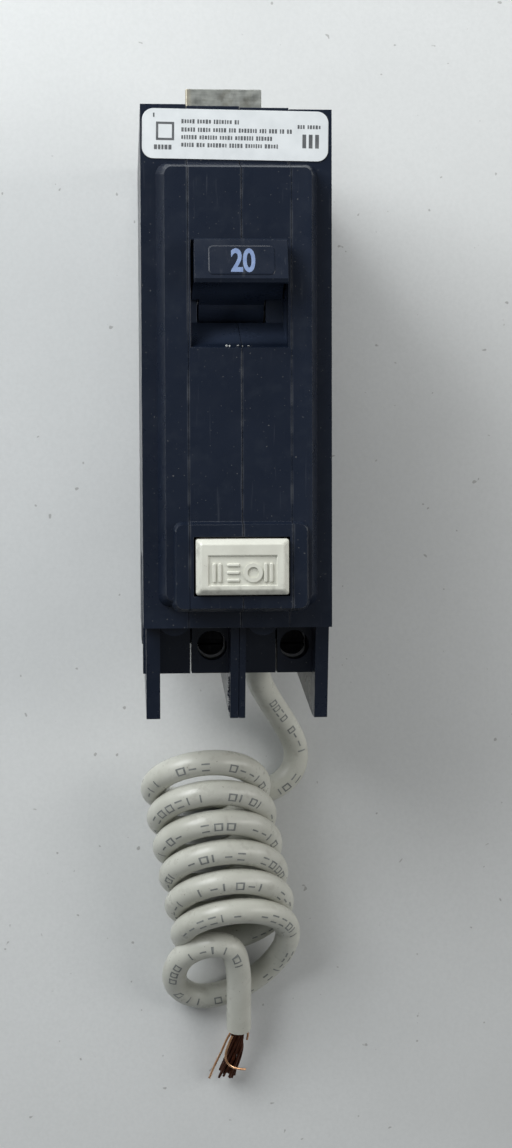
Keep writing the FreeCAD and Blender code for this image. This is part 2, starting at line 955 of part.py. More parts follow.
def trip_unit():
    """Armature, bimetal and magnet yoke, and the arc chute under the contacts."""
    mid = "armature_along + armature_thickness / 2"
    plate_blank = box(
        "armature_plate",
        ("armature_left", "armature_right"),
        ("armature_along", "armature_along + armature_thickness"),
        ("armature_pivot - armature_knuckle", "armature_top"),
    )
    knuckle = cylinder(
        "armature_roll", "x", "armature_knuckle", "armature_right - armature_left",
        "armature_left", mid, "armature_pivot",
    )
    slot = box(
        "armature_window",
        ("middle - armature_slot", "middle + armature_slot"),
        ("armature_along - 1", "armature_along + 3"),
        ("solenoid_height - armature_slot", "solenoid_height + armature_slot"),
    )
    bore = cylinder(
        "armature_bore", "x", "small_pin + pin_fit", "through", "-through / 2", mid, "armature_pivot"
    )
    solid = fuse("armature_solid", plate_blank, knuckle)
    node(cut("armature", solid, slot, bore), "armature")
    pin = cylinder(
        "armature_pin", "x", "small_pin", "armature_pin_length",
        "armature_pin_left", mid, "armature_pivot",
    )
    node(pin, "armature_pin")
    blade = box(
        "bimetal_blade",
        ("middle - bimetal_half", "middle + bimetal_half"),
        ("bimetal_along", "bimetal_along + bimetal_thickness"),
        ("bimetal_bottom", "bimetal_top"),
    )
    node(blade, "bimetal")
    yoke = box(
        "yoke_block", ("yoke_left", "yoke_right"), ("yoke_start", "yoke_end"), ("yoke_bottom", "yoke_top")
    )
    gap = box(
        "yoke_gap",
        ("yoke_left + yoke_wall", "yoke_right - yoke_wall"),
        ("yoke_start - 1", "yoke_end - yoke_wall"),
        ("yoke_bottom - 1", "yoke_top + 1"),
    )
    node(cut("magnet_yoke", yoke, gap), "magnet_yoke")
    arc_chute()


def arc_chute():
    """Steel plates in a stack below the contacts, held between two fibre sides."""
    plates = []
    for number in range(1, 6):
        height = f"chute_pitch * {number} + 1"
        blank = box(
            f"chute_blank_{number}",
            ("chute_left", "chute_right"),
            ("chute_start", "chute_end"),
            (height, height + " + chute_plate"),
        )
        notch = cylinder(
            f"chute_notch_{number}", "z", "chute_notch", "chute_pitch",
            "middle", "chute_start", height + " - 1",
        )
        plates.append(cut(f"chute_plate_{number}", blank, notch))
    stack = doc.addObject("Part::Compound", "arc_chute_plates")
    stack.Links = plates
    node(stack, "arc_chute_plates")
    sides = doc.addObject("Part::Compound", "arc_chute_sides")
    along, height = ("chute_start - 0.5", "chute_end + 0.5"), ("chute_bottom", "chute_top")
    sides.Links = [
        box("chute_side_left", ("chute_left - chute_side", "chute_left"), along, height),
        box("chute_side_right", ("chute_right", "chute_right + chute_side"), along, height),
    ]
    node(sides, "arc_chute_sides")


def solenoid():
    """The trip coil on its frame, and the plunger that pulls the armature."""
    start, height = "solenoid_start", "solenoid_height"
    winding = cylinder(
        "winding", "y", "solenoid_radius", "solenoid_length - 2 * frame_sheet",
        "middle", "solenoid_start + solenoid_length - frame_sheet", height,
    )
    winding_bore = cylinder(
        "winding_bore", "y", "bore_radius + sleeve_wall", "through",
        "middle", "solenoid_start + through / 2", height,
    )
    node(cut("trip_solenoid_coil", winding, winding_bore), "trip_solenoid_coil")
    ends = [
        box(
            f"solenoid_end_{side}",
            ("middle - frame_half", "middle + frame_half"),
            (along, along + " + frame_sheet"),
            ("solenoid_height - frame_reach", "solenoid_height + frame_reach"),
        )
        for side, along in (("line", start), ("load", "solenoid_start + solenoid_length - frame_sheet"))
    ]
    back = box(
        "solenoid_back",
        ("middle - frame_half", "middle + frame_half"),
        (start, "solenoid_start + solenoid_length"),
        ("solenoid_height + frame_reach - 0.7", "solenoid_height + frame_reach"),
    )
    sleeve = cylinder(
        "solenoid_sleeve", "y", "bore_radius + sleeve_wall", "solenoid_length",
        "middle", "solenoid_start + solenoid_length", height,
    )
    bore = cylinder(
        "solenoid_bore", "y", "bore_radius", "through",
        "middle", "solenoid_start + through / 2", height,
    )
    solid = fuse("solenoid_solid", *ends, back, sleeve)
    node(cut("solenoid_frame", solid, bore), "solenoid_frame")
    core = cylinder(
        "iron_core", "y", "plunger_radius", "plunger_core", "middle", "plunger_core_end", height
    )
    rod = cylinder(
        "pull_rod", "y", "plunger_rod", "plunger_core", "middle",
        "plunger_core_end - plunger_core + 0.5", height,
    )
    head = cylinder(
        "rod_head", "y", "plunger_head", "plunger_head_depth",
        "middle", "armature_along - plunger_head_depth / 2", height,
    )
    node(fuse("solenoid_plunger", core, rod, head), "solenoid_plunger")


def toroids():
    """The two current transformers that both load wires pass through."""
    for number, name in enumerate(("sense_transformer", "grounded_neutral_transformer")):
        start = f"toroid_first + {number} * toroid_pitch"
        ring = cylinder(
            name + "_ring", "y", "toroid_radius", "toroid_depth",
            "middle", start + " + toroid_depth", "toroid_height",
        )
        hole = cylinder(
            name + "_hole", "y", "toroid_hole", "through",
            "middle", start + " + through / 2", "toroid_height",
        )
        node(cut(name, ring, hole), name)


def load_path():
    """Conductors of the power side: bimetal to lug, through both toroids, and the braid."""
    across = ("power_x - bar_half", "power_x + bar_half")
    drop = ("power_drop", "power_drop + bar_sheet")
    foot = "toroid_height - link_radius"
    strap = fuse(
        "load_strap_solid",
        box("strap_run", across, ("power_drop", "lug_start"), ("bar_bottom", "bar_top")),
        box("strap_drop", across, drop, (foot, "bar_top")),
        box("strap_foot", ("power_x - bar_half", "0"), drop, (foot, foot + " + 2 * link_radius")),
    )
    node(strap, "load_strap")
    link = cylinder(
        "hot_link", "y", "link_radius", "power_drop - bimetal_along - bimetal_thickness",
        "-0.9", "power_drop", "toroid_height",
    )
    node(link, "hot_link")
    route = [
        point(-2.0, 42.95, 10.2),
        point(-3.0, 36.5, 7.5),
        point(-3.0, 33.6, 14.0),
        point(-3.0, 30.5, 22.5),
        point(-3.0, 26.6, 27.5),
    ]
    node(feature("flexible_braid", tube(route, value("braid_radius"))), "flexible_braid")


def neutral_path():
    """Conductors of the neutral side: lug, strap, insulated link, splice and inner lead."""
    across = ("neutral_x - neutral_half", "neutral_x + neutral_half")
    drop = ("neutral_drop", "neutral_drop + bar_sheet")
    strap = fuse(
        "neutral_strap_solid",
        box("neutral_run", across, ("neutral_drop", "lug_start"), ("bar_bottom", "bar_top")),
        box("neutral_fall", across, drop, ("bar_bottom - 3", "bar_top")),
    )
    node(strap, "neutral_strap")
    route = [
        point(8.5, 56.4, 30),
        point(8.5, 56.7, 19),
        point(8.2, 56.4, 9),
        point(1.5, 56.4, 9),
        point(1.4, 45.4, 9),
    ]
    node(feature("neutral_link", tube(route, value("braid_radius"))), "neutral_link")
    splice = box(
        "neutral_splice",
        ("splice_left", "splice_right"),
        ("splice_start", "splice_end"),
        ("toroid_height - 1.2", "exit_height + wire_radius - 0.2"),
    )
    node(splice, "neutral_splice")
    lead = cylinder(
        "inner_neutral_lead", "y", "wire_radius", "block_end - splice_end",
        "exit_x", "block_end", "exit_height",
    )
    node(lead, "inner_neutral_lead")


def lugs():
    """A box lug and its slotted clamping screw for each load terminal."""
    for name in ("power", "neutral"):
        x = name + "_x"
        block = box(
            name + "_block",
            (f"{x} - lug_half", f"{x} + lug_half"),
            ("lug_start", "lug_end"),
            ("lug_bottom", "lug_top"),
        )
        wire = cylinder(
            name + "_wire_bore", "y", "lug_bore", "through", x, "lug_end + 5", "lug_bore_height"
        )
        thread = cylinder(
            name + "_thread", "z", "screw_radius + screw_fit", "through",
            x, "screw_along", "lug_bore_height",
        )
        node(cut(name + "_lug", block, wire, thread), name + "_lug")
        shank = cylinder(
            name + "_shank", "z", "screw_radius", "screw_head_top - screw_tip",
            x, "screw_along", "screw_tip",
        )
        head = cylinder(
            name + "_head", "z", "screw_head", "screw_head_top - screw_head_bottom",
            x, "screw_along", "screw_head_bottom",
        )
        slot = box(
            name + "_slot",
            (f"{x} - 3", f"{x} + 3"),
            ("screw_along - screw_slot", "screw_along + screw_slot"),
            ("screw_head_top - screw_slot_depth", "screw_head_top + 1"),
        )
        node(cut(name + "_screw", fuse(name + "_screw_solid", shank, head), slot), name + "_screw")


# ---------------------------------------------------------------- the test circuit and the board


def test_circuit():
    """The test button with its guide flange, return spring, contact blade and post."""
    cap = raised(
        "button_cap",
        ("button_left", "button_right"),
        ("button_start", "button_end"),
        ("button_top - button_rim", "button_top"),
        "button_rim",
        "button_corner",
    )
    sides = box(
        "button_sides",
        ("button_left", "button_right"),
        ("button_start", "button_end"),
        ("button_bottom", "button_top - button_rim"),
    )
    rounded = fillet("button_body", sides, "button_corner", upright)
    stem = box(
        "button_stem",
        ("stem_left", "stem_right"),
        ("stem_start", "stem_end"),
        ("stem_bottom", "button_bottom"),
    )
    flange = box(
        "button_flange",
        ("button_left + 0.6", "button_right - 0.75"),
        ("button_start - flange_line", "button_end + flange_load"),
        ("button_bottom", "nose_top - wall - 0.2"),
    )
    panel = box(
        "button_panel",
        ("panel_left", "panel_right"),
        ("panel_start", "panel_end"),
        ("button_top - panel_depth", "button_top + 1"),
    )
    solid = fuse("button_solid", rounded, cap, stem, flange)
    node(cut("test_button", solid, panel), "test_button")
    across, along = value("(seat_left + seat_right) / 2"), value("(stem_start + stem_end) / 2")
    low = point(across, along, value("seat_top + spring_wire + 0.1"))
    high = point(across, along, value("button_bottom - 0.3"))
    coil = spring(low, high, value("spring_radius"), value("spring_wire"), 6)
    node(feature("test_button_spring", coil), "test_button_spring")
    blade = box(
        "blade_strip",
        ("blade_left", "blade_right"),
        ("blade_start", "blade_end"),
        ("blade_height", "blade_height + blade_sheet"),
    )
    node(blade, "test_contact_blade")
    post = box(
        "post_block",
        ("blade_left", "blade_right"),
        ("post_start", "blade_end"),
        ("shelf", "blade_height - post_gap"),
    )
    node(post, "test_contact_post")
    seat = box(
        "spring_seat", ("seat_left", "seat_right"), ("stem_start", "stem_end"), ("shelf", "seat_top")
    )
    node(seat, "button_spring_seat")


def board():
    """The circuit board of the ground-fault module and what is soldered to it."""
    face = "board_left + board_thickness"
    panel = box(
        "board_panel", ("board_left", face), ("board_start", "board_end"), ("board_low", "board_high")
    )
    node(panel, "circuit_board")
    chip = box("chip_block", (face, face + " + chip_height"), ("24", "33.5"), ("18", "24.5"))
    node(chip, "ground_fault_chip")
    thyristor = box(
        "thyristor_block", (face, face + " + thyristor_height"), ("14", "19"), ("24", "28.5")
    )
    node(thyristor, "trip_thyristor")
    varistor = cylinder(
        "varistor_disc", "x", "varistor_radius", "varistor_height", face, "17", "36"
    )
    node(varistor, "surge_varistor")
    capacitor = cylinder(
        "capacitor_can", "y", "capacitor_radius", "capacitor_length",
        face + " + capacitor_radius + 0.05", "46", "33",
    )
    node(capacitor, "filter_capacitor")
    group = doc.addObject("Part::Compound", "board_resistors")
    group.Links = [
        cylinder(
            f"resistor_{number}", "z", "resistor_radius", "resistor_length",
            face + " + resistor_radius + 0.05", f"22 + resistor_pitch * {number}", "8",
        )
        for number in range(5)
    ]
    node(group, "board_resistors")


# ---------------------------------------------------------------- the pigtail


def tube(points, radius):
    """A round tube along straight runs joined by tangent arcs.

    Each arc's radius is 0.45 of the shorter run beside it, divided by the tangent of half the turn.
    """
    edges, radii, start = [], [], points[0]
    for before, corner, after in zip(points, points[1:], points[2:]):
        back, on = before - corner, after - corner
        shorter = min(back.Length, on.Length)
        back.normalize()
        on.normalize()
        half_turn = (math.pi - back.getAngle(on)) / 2
        reach = 0.45 * shorter
        arc_radius = reach / math.tan(half_turn)
        first, last = corner + back * reach, corner + on * reach
        inward = (back + on).normalize()
        middle = corner + inward * (arc_radius / math.cos(half_turn) - arc_radius)
        edges.append(Part.LineSegment(start, first).toShape())
        edges.append(Part.Arc(first, middle, last).toShape())
        radii.append(arc_radius)
        start = last
    edges.append(Part.LineSegment(start, points[-1]).toShape())
    path = Part.Wire(edges)
    circle = Part.Circle(points[0], points[1] - points[0], radius).toShape()
    solid = path.makePipeShell([Part.Wire(circle)], True, False)
    expected = math.pi * radius**2 * path.Length
    print(
        f"tube: length {path.Length:.1f}, radii {[round(r, 1) for r in radii]},"
        f" volume / expected {solid.Volume / expected:.4f}"
    )
    return solid


# The coil's axis starts here, at the left side of its first turn, as (X, along).
COIL_START = (-2.75, 97.3)

# From the exit down to the floor, round to the right and back under the coil: (X, along, height).
LEAD = (
    (4.5, 74.0, 17.0),
    (4.9, 79.6, 15.4),
    (7.6, 84.6, 9.0),
    (10.4, 88.8, 3.6),
    (12.7, 93.2, 2.0),
    (12.2, 97.4, 2.0),
    (8.4, 100.4, 2.0),
    (3.2, 101.3, 2.0),
    (-2.4, 101.1, 2.0),
)

# The loose last loop and the tail over it.
TAIL = (
    (10.6, 123.4, 8.0),
    (9.7, 127.0, 4.2),
    (6.2, 131.2, 2.0),
    (1.2, 133.8, 2.0),
    (-4.2, 134.5, 2.1),
    (-8.0, 131.6, 4.0),
    (-7.2, 126.2, 8.6),
    (-3.2, 123.3, 11.2),
    (1.4, 123.5, 11.4),
    (2.6, 127.8, 9.2),
    (2.7, 133.6, 6.8),
    (2.8, 138.8, 5.2),
)


def pigtail():
    """The lead, the fat closed solid of the coil, the tail with its loose loop, and the strands."""
    lead = tube([point(*place) for place in LEAD], value("wire_radius"))
    node(feature("pigtail_lead", lead), "pigtail_lead")
    node(feature("pigtail_coil", coil_solid()), "pigtail_coil")
    tail = tube([point(*place) for place in TAIL], value("wire_radius"))
    node(feature("pigtail_tail", tail), "pigtail_tail")
    node(feature("copper_strands", strands()), "copper_strands")


def coil_solid():
    """The coil's outer shape: a leaning disc swept along the coil's axis."""
    lean = math.radians(value("coil_lean"))
    drift = math.radians(value("coil_drift"))
    outer = value("coil_radius + wire_radius")
    forward = Vector(math.sin(drift), -math.cos(drift), 0)
    normal = Vector(
        math.sin(drift) * math.cos(lean), -math.cos(drift) * math.cos(lean), -math.sin(lean)
    )
    height = value("coil_radius") * math.cos(lean) + value("wire_radius")
    start = point(*COIL_START, height) - forward * value("wire_radius")
    disc = Part.Face(Part.Wire(Part.Circle(start, normal, outer).toShape()))
    length = value("coil_pitch * coil_turns + 2 * wire_radius")
    barrel = disc.extrude(forward * length)
    floor = Part.makeBox(80, 80, 20, Vector(-40, start.y - 60, -20))
    return barrel.cut(floor)


def strands():
    """The bared end of the wire: a bundle of copper strands that spread a little."""
    root = point(*TAIL[-1])
    ends = (
        (1.6, 148.6, 2.8),
        (0.9, 148.2, 2.0),
        (2.6, 147.4, 2.4),
        (0.3, 147.6, 3.0),
        (3.0, 146.0, 3.8),
    )
    sides = ((0, 0), (1, 0), (-1, 0), (0, 1), (0, -1))
    radius, spread = value("strand_radius"), value("strand_spread")
    pieces = []
    for place, (side, up) in zip(ends, sides):
        start = root + Vector(side, 0, up) * spread
        end = point(*place)
        pieces.append(Part.makeCylinder(radius, (end - start).Length, start, end - start))
    return Part.makeCompound(pieces)


# ---------------------------------------------------------------- build, check and write


def write_parts():
    """Check every object and write each sub-part to its own STEP file."""
    doc.recompute()
    for item in doc.Objects:
        if "Invalid" in item.State or "Error" in item.State:
            raise RuntimeError(f"{item.Name} failed: {item.State}")
    os.makedirs("parts", exist_ok=True)
    for item in NODES:
        shape = item.Shape
        if shape.isNull() or not shape.isValid() or not shape.Solids:
            raise RuntimeError(f"{item.Label} has no valid solid")
        if any(solid.Volume <= 0 for solid in shape.Solids):
            raise RuntimeError(f"{item.Label} has a solid with no volume")
        shape.exportStep(f"parts/{item.Label}.step")
        print(f"{item.Label}: {len(shape.Solids)} solid(s), {shape.Volume:.1f} mm3")
    print(len(NODES), "sub-parts")


case_slices()
rivets()
label()
handle()
contacts()
cradle()
trip_unit()
solenoid()
toroids()
load_path()
neutral_path()
lugs()
test_circuit()
board()
pigtail()
write_parts()
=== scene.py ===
"""The looks of a one-pole ground-fault circuit breaker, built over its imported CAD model.

The frame is the CAD one, in metres: +X to the right, +Y towards the line end, +Z out of the
handle face. The object's sizes are written in millimetres and turned into metres by MM; those of
the camera, the floor and the lights are in metres. A place is (X, along, height), where "along" is
the distance from the case's line end towards its load end.
"""

import json
import math
import random

import bmesh
import bpy
from mathutils import Matrix, Vector


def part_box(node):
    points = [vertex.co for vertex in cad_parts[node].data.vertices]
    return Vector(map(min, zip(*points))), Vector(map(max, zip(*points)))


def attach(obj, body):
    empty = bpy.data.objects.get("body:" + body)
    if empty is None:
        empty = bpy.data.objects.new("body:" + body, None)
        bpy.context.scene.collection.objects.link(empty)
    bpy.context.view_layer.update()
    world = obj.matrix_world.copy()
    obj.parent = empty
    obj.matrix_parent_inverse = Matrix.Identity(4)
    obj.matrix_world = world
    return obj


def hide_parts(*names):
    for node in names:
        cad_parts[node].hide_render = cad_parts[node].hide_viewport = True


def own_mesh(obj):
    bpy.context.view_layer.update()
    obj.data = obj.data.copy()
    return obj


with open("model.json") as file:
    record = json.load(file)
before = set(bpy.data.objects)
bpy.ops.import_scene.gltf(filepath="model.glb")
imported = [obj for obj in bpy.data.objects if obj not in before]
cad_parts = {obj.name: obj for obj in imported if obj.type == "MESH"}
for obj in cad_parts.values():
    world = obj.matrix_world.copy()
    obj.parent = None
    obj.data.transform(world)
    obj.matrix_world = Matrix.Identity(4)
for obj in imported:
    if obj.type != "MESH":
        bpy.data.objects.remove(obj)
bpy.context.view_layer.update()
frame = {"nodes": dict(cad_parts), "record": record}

MM = 0.001
# How far the terminal's tab reaches past the case's line end.
TAB_REACH = 9.1
LINE_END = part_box("line_terminal")[1].y - TAB_REACH * MM
NODES = frame["nodes"]


def place(x, along, height):
    """A point of the frame, in metres, from millimetres."""
    return Vector((x * MM, LINE_END - along * MM, height * MM))


def put_in_scene(item):
    bpy.context.scene.collection.objects.link(item)


# ---------------------------------------------------------------- the camera


CAMERA_PLACE = (-0.0147, -0.01058, 0.30632)
CAMERA_YAW, CAMERA_PITCH, CAMERA_ROLL = 3.9, -3.34, -0.19
CAMERA_LENS = 58.95
FULL_FRAME = 36.0


def add_camera():
    """Held over the case, a little to its left, and looking almost straight down."""
    yaw, pitch, roll = (math.radians(angle) for angle in (CAMERA_YAW, CAMERA_PITCH, CAMERA_ROLL))
    forward = Vector(
        (math.sin(yaw) * math.cos(pitch), math.sin(pitch), -math.cos(yaw) * math.cos(pitch))
    )
    level_right = forward.cross(Vector((0, 1, 0))).normalized()
    level_up = level_right.cross(forward)
    right = level_right * math.cos(roll) + level_up * math.sin(roll)
    up = level_up * math.cos(roll) - level_right * math.sin(roll)
    data = bpy.data.cameras.new("camera")
    data.sensor_fit = "VERTICAL"
    data.sensor_height = FULL_FRAME
    data.lens = CAMERA_LENS
    data.clip_start = 0.01
    camera = bpy.data.objects.new("camera", data)
    turn = Matrix((right, up, -forward)).transposed().to_4x4()
    camera.matrix_world = Matrix.Translation(CAMERA_PLACE) @ turn
    put_in_scene(camera)
    bpy.context.scene.camera = camera


# ---------------------------------------------------------------- the pigtail's route

WIRE_RADIUS = 2.0
COIL_START = (-2.75, 97.3)
COIL_RADIUS = 8.3
COIL_PITCH = 4.79
COIL_LEAN = math.radians(36.5)
COIL_DRIFT = math.radians(11.0)
FIRST_TURN, LAST_TURN = -0.25, 5.5
STEPS_A_TURN = 24

# From the exit down to the floor, round to the right and back under the coil.
LEAD = (
    (4.5, 74.0, 17.0),
    (4.9, 79.6, 15.4),
    (7.6, 84.6, 9.0),
    (10.4, 88.8, 3.6),
    (12.7, 93.2, 2.0),
    (12.2, 97.4, 2.0),
    (8.4, 100.4, 2.0),
    (3.2, 101.3, 2.0),
)

# The loose last loop and the tail over it.
TAIL = (
    (10.6, 123.4, 8.0),
    (9.7, 127.0, 4.2),
    (6.2, 131.2, 2.0),
    (1.2, 133.8, 2.0),
    (-4.2, 134.5, 2.1),
    (-8.0, 131.6, 4.0),
    (-7.2, 126.2, 8.6),
    (-3.2, 123.3, 11.2),
    (1.4, 123.5, 11.4),
    (2.6, 127.8, 9.2),
    (2.7, 133.6, 6.8),
    (2.8, 138.8, 5.2),
)


def coil_points():
    """The turns of the coil: a helix whose rings lean over and whose axis drifts to the right."""
    forward = Vector((math.sin(COIL_DRIFT), -math.cos(COIL_DRIFT), 0))
    sideways = Vector((math.cos(COIL_DRIFT), math.sin(COIL_DRIFT), 0))
    rising = Vector((0, 0, math.cos(COIL_LEAN))) - forward * math.sin(COIL_LEAN)
    height = COIL_RADIUS * math.cos(COIL_LEAN) + WIRE_RADIUS
    start = place(*COIL_START, height)
    # A spline's control points lie outside its curve, by this share of the radius.
    swell = 1 / (0.75 + 0.25 * math.cos(2 * math.pi / STEPS_A_TURN))
    radius = COIL_RADIUS * swell
    points = []
    for step in range(round((LAST_TURN - FIRST_TURN) * STEPS_A_TURN) + 1):
        turn = FIRST_TURN + step / STEPS_A_TURN
        angle = math.pi - 2 * math.pi * turn
        ring = sideways * math.cos(angle) + rising * math.sin(angle)
        points.append(start + (forward * COIL_PITCH * turn + ring * radius) * MM)
    return points


def add_spline(curve, points, order=3):
    """One open NURBS spline through the space of its control points."""
    spline = curve.splines.new("NURBS")
    spline.points.add(len(points) - 1)
    for item, point in zip(spline.points, points):
        item.co = (*point, 1)
    spline.order_u = order
    spline.use_endpoint_u = True


def new_curve(name, radius, resolution=6):
    """A curve object with a round section of that radius, in millimetres."""
    curve = bpy.data.curves.new(name, "CURVE")
    curve.dimensions = "3D"
    curve.bevel_depth = radius * MM
    curve.bevel_resolution = resolution
    curve.resolution_u = 6
    curve.use_fill_caps = True
    item = bpy.data.objects.new(name, curve)
    put_in_scene(item)
    return item


def add_pigtail():
    """The whole wire as one curve: the lead, the coil and the tail with its loose loop."""
    wire = new_curve("pigtail_wire", WIRE_RADIUS, 8)
    points = [place(*spot) for spot in LEAD] + coil_points() + [place(*spot) for spot in TAIL]
    add_spline(wire.data, points)
    return wire


def centreline(item):
    """The points of a curve object's own line, read from the curve with no bevel."""
    depth = item.data.bevel_depth
    item.data.bevel_depth = 0
    bpy.context.view_layer.update()
    line = bpy.data.meshes.new_from_object(item)
    points = [vertex.co.copy() for vertex in line.vertices]
    bpy.data.meshes.remove(line)
    item.data.bevel_depth = depth
    return points


# ---------------------------------------------------------------- materials


class Finish:
    """A procedural material, whose patterns lie in the object's own coordinates."""

    def __init__(self, name, roughness=0.5, metallic=0.0, specular=0.5):
        self.material = bpy.data.materials.new(name)
        self.material.use_nodes = True
        self.tree = self.material.node_tree
        self.shader = self.tree.nodes["Principled BSDF"]
        self.shader.inputs["Roughness"].default_value = roughness
        self.shader.inputs["Metallic"].default_value = metallic
        self.shader.inputs["Specular IOR Level"].default_value = specular
        self.coordinates = self.add("ShaderNodeTexCoord").outputs["Object"]
        self.height = None

    def add(self, kind, **settings):
        item = self.tree.nodes.new(kind)
        for name, setting in settings.items():
            setattr(item, name, setting)
        return item

    def link(self, source, target):
        self.tree.links.new(source, target)

    def stretched(self, stretch, shift=0.0):
        """The coordinates scaled along each axis, and moved so that two noises differ."""
        mapping = self.add("ShaderNodeMapping")
        mapping.inputs["Scale"].default_value = stretch
        mapping.inputs["Location"].default_value = (shift, shift * 0.7, shift * 1.3)
        self.link(self.coordinates, mapping.inputs["Vector"])
        return mapping.outputs["Vector"]

    def noise(self, size, detail=3.0, stretch=(1, 1, 1), shift=0.0, roughness=0.55):
        """Noise whose patches are about that size, in millimetres."""
        item = self.add("ShaderNodeTexNoise")
        item.inputs["Scale"].default_value = 1 / (size * MM)
        item.inputs["Detail"].default_value = detail
        item.inputs["Roughness"].default_value = roughness
        self.link(self.stretched(stretch, shift), item.inputs["Vector"])
        return item.outputs["Fac"]

    def rescale(self, source, low, high, to_low=0.0, to_high=1.0):
        item = self.add("ShaderNodeMapRange")
        item.clamp = True
        for name, number in zip(
            ("From Min", "From Max", "To Min", "To Max"), (low, high, to_low, to_high)
        ):
            item.inputs[name].default_value = number
        self.link(source, item.inputs["Value"])
        return item.outputs["Result"]

    def math(self, operation, first, second):
        item = self.add("ShaderNodeMath", operation=operation)
        for socket, source in zip(item.inputs, (first, second)):
            if isinstance(source, (int, float)):
                socket.default_value = source
            else:
                self.link(source, socket)
        return item.outputs[0]

    def axis(self, letter):
        """One coordinate of the surface point, in metres."""
        item = self.add("ShaderNodeSeparateXYZ")
        self.link(self.coordinates, item.inputs[0])
        return item.outputs[letter]

    def near(self, letter, centre, width, softness):
        """1 within half that width of a coordinate, in millimetres, and 0 past the softness."""
        away = self.math("ABSOLUTE", self.math("SUBTRACT", self.axis(letter), centre * MM), 0)
        return self.rescale(away, (width / 2) * MM, (width / 2 + softness) * MM, 1, 0)

    def beyond(self, letter, start, end):
        """0 before start and 1 past end, in millimetres along an axis."""
        return self.rescale(self.axis(letter), start * MM, end * MM)

    def mix(self, factor, first, second):
        """Colours mixed by a factor; a colour is three numbers or a socket."""
        item = self.add("ShaderNodeMix", data_type="RGBA")
        self.link(factor, item.inputs["Factor"])
        for socket, colour in ((item.inputs[6], first), (item.inputs[7], second)):
            if isinstance(colour, tuple):
                socket.default_value = (*colour, 1)
            else:
                self.link(colour, socket)
        return item.outputs[2]

    def colour(self, source):
        self.link(source, self.shader.inputs["Base Color"])

    def rough(self, source, low, high):
        self.link(self.rescale(source, 0.25, 0.75, low, high), self.shader.inputs["Roughness"])

    def bump(self, source, strength, depth):
        """Add a bump of that depth, in millimetres, on top of the ones before it."""
        item = self.add("ShaderNodeBump")
        item.inputs["Strength"].default_value = strength
        item.inputs["Distance"].default_value = depth * MM
        self.link(source, item.inputs["Height"])
        if self.height is not None:
            self.link(self.height, item.inputs["Normal"])
        self.height = item.outputs["Normal"]
        self.link(self.height, self.shader.inputs["Normal"])


def general(name, base, second, size=4.0, grain=0.25, depth=0.02, **looks):
    """The plain finish that most hidden parts take: two tones, uneven gloss and a fine grain."""
    finish = Finish(name, **looks)
    tone = finish.rescale(finish.noise(size), 0.35, 0.68)
    finish.colour(finish.mix(tone, base, second))
    gloss = looks.get("roughness", 0.5)
    finish.rough(finish.noise(size * 0.4, shift=3.0), gloss * 0.8, gloss * 1.2)
    finish.bump(finish.noise(grain, detail=2.0), 0.3, depth)
    return finish


# The X of the three seams, and the two corners of the handle's window, where a glow is painted.
SEAMS = (-6.6, 0.45, 7.0)
WINDOW = (place(-6.25, 31.8, 0), place(6.5, 17.8, 0))
SEAM_RUB = 0.55


def case_plastic(name, dusty=1.0):
    """Navy-black moulded plastic: satin, with dust, fine scratches and pale rubbed seams."""
    finish = Finish(name, roughness=0.3, specular=0.32)
    tone = finish.rescale(finish.noise(9.0, detail=4.0), 0.3, 0.7)
    colour = finish.mix(tone, (0.0060, 0.0100, 0.0205), (0.0085, 0.0130, 0.0250))
    haze = finish.rescale(finish.noise(2.2, detail=5.0, shift=5.0), 0.52, 0.75, 0, 0.3 * dusty)
    colour = finish.mix(haze, colour, (0.022, 0.028, 0.040))
    specks = finish.rescale(finish.noise(0.35, detail=1.0, shift=9.0), 0.735, 0.78, 0, 0.5 * dusty)
    colour = finish.mix(specks, colour, (0.16, 0.16, 0.155))
    scratch = finish.noise(0.5, detail=2.0, stretch=(1.0, 0.05, 1.0), shift=2.0)
    rubbed = finish.rescale(scratch, 0.66, 0.74, 0, 0.25 * dusty)
    colour = finish.mix(rubbed, colour, (0.06, 0.066, 0.08))
    broken = finish.rescale(finish.noise(3.0, detail=5.0, stretch=(0.3, 1.0, 0.3)), 0.42, 0.72)
    front = finish.beyond("Z", 53.0, 54.5)
    for seam in SEAMS:
        line = finish.math("MULTIPLY", finish.near("X", seam - 0.03, 0.24, 0.14), broken)
        line = finish.math("MULTIPLY", line, front)
        line = finish.math("MULTIPLY", line, SEAM_RUB)
        colour = finish.mix(line, colour, (0.085, 0.09, 0.10))
    # Painted light: the deep floor of the handle's window gets a paler blue colour, standing in for
    # the glow and sheen that the lamps don't bring there.
    low, high = WINDOW
    middle, size = (low + high) / 2 / MM, (high - low) / MM
    painted_glow_window = finish.math(
        "MULTIPLY", finish.near("X", middle.x, size.x, 0.1), finish.near("Y", middle.y, size.y, 0.1)
    )
    painted_glow_depth = finish.math("SUBTRACT", 1.0, finish.beyond("Z", 54.0, 58.0))
    colour = finish.mix(finish.math("MULTIPLY", painted_glow_window, painted_glow_depth), colour, (0.055, 0.075, 0.125))
    finish.colour(colour)
    finish.rough(finish.noise(3.0, detail=5.0, shift=7.0), 0.24, 0.36)
    finish.bump(finish.noise(6.0, detail=2.0, shift=1.0), 0.25, 0.10)
    finish.bump(finish.noise(0.22, detail=2.0), 0.22, 0.012)
    return finish


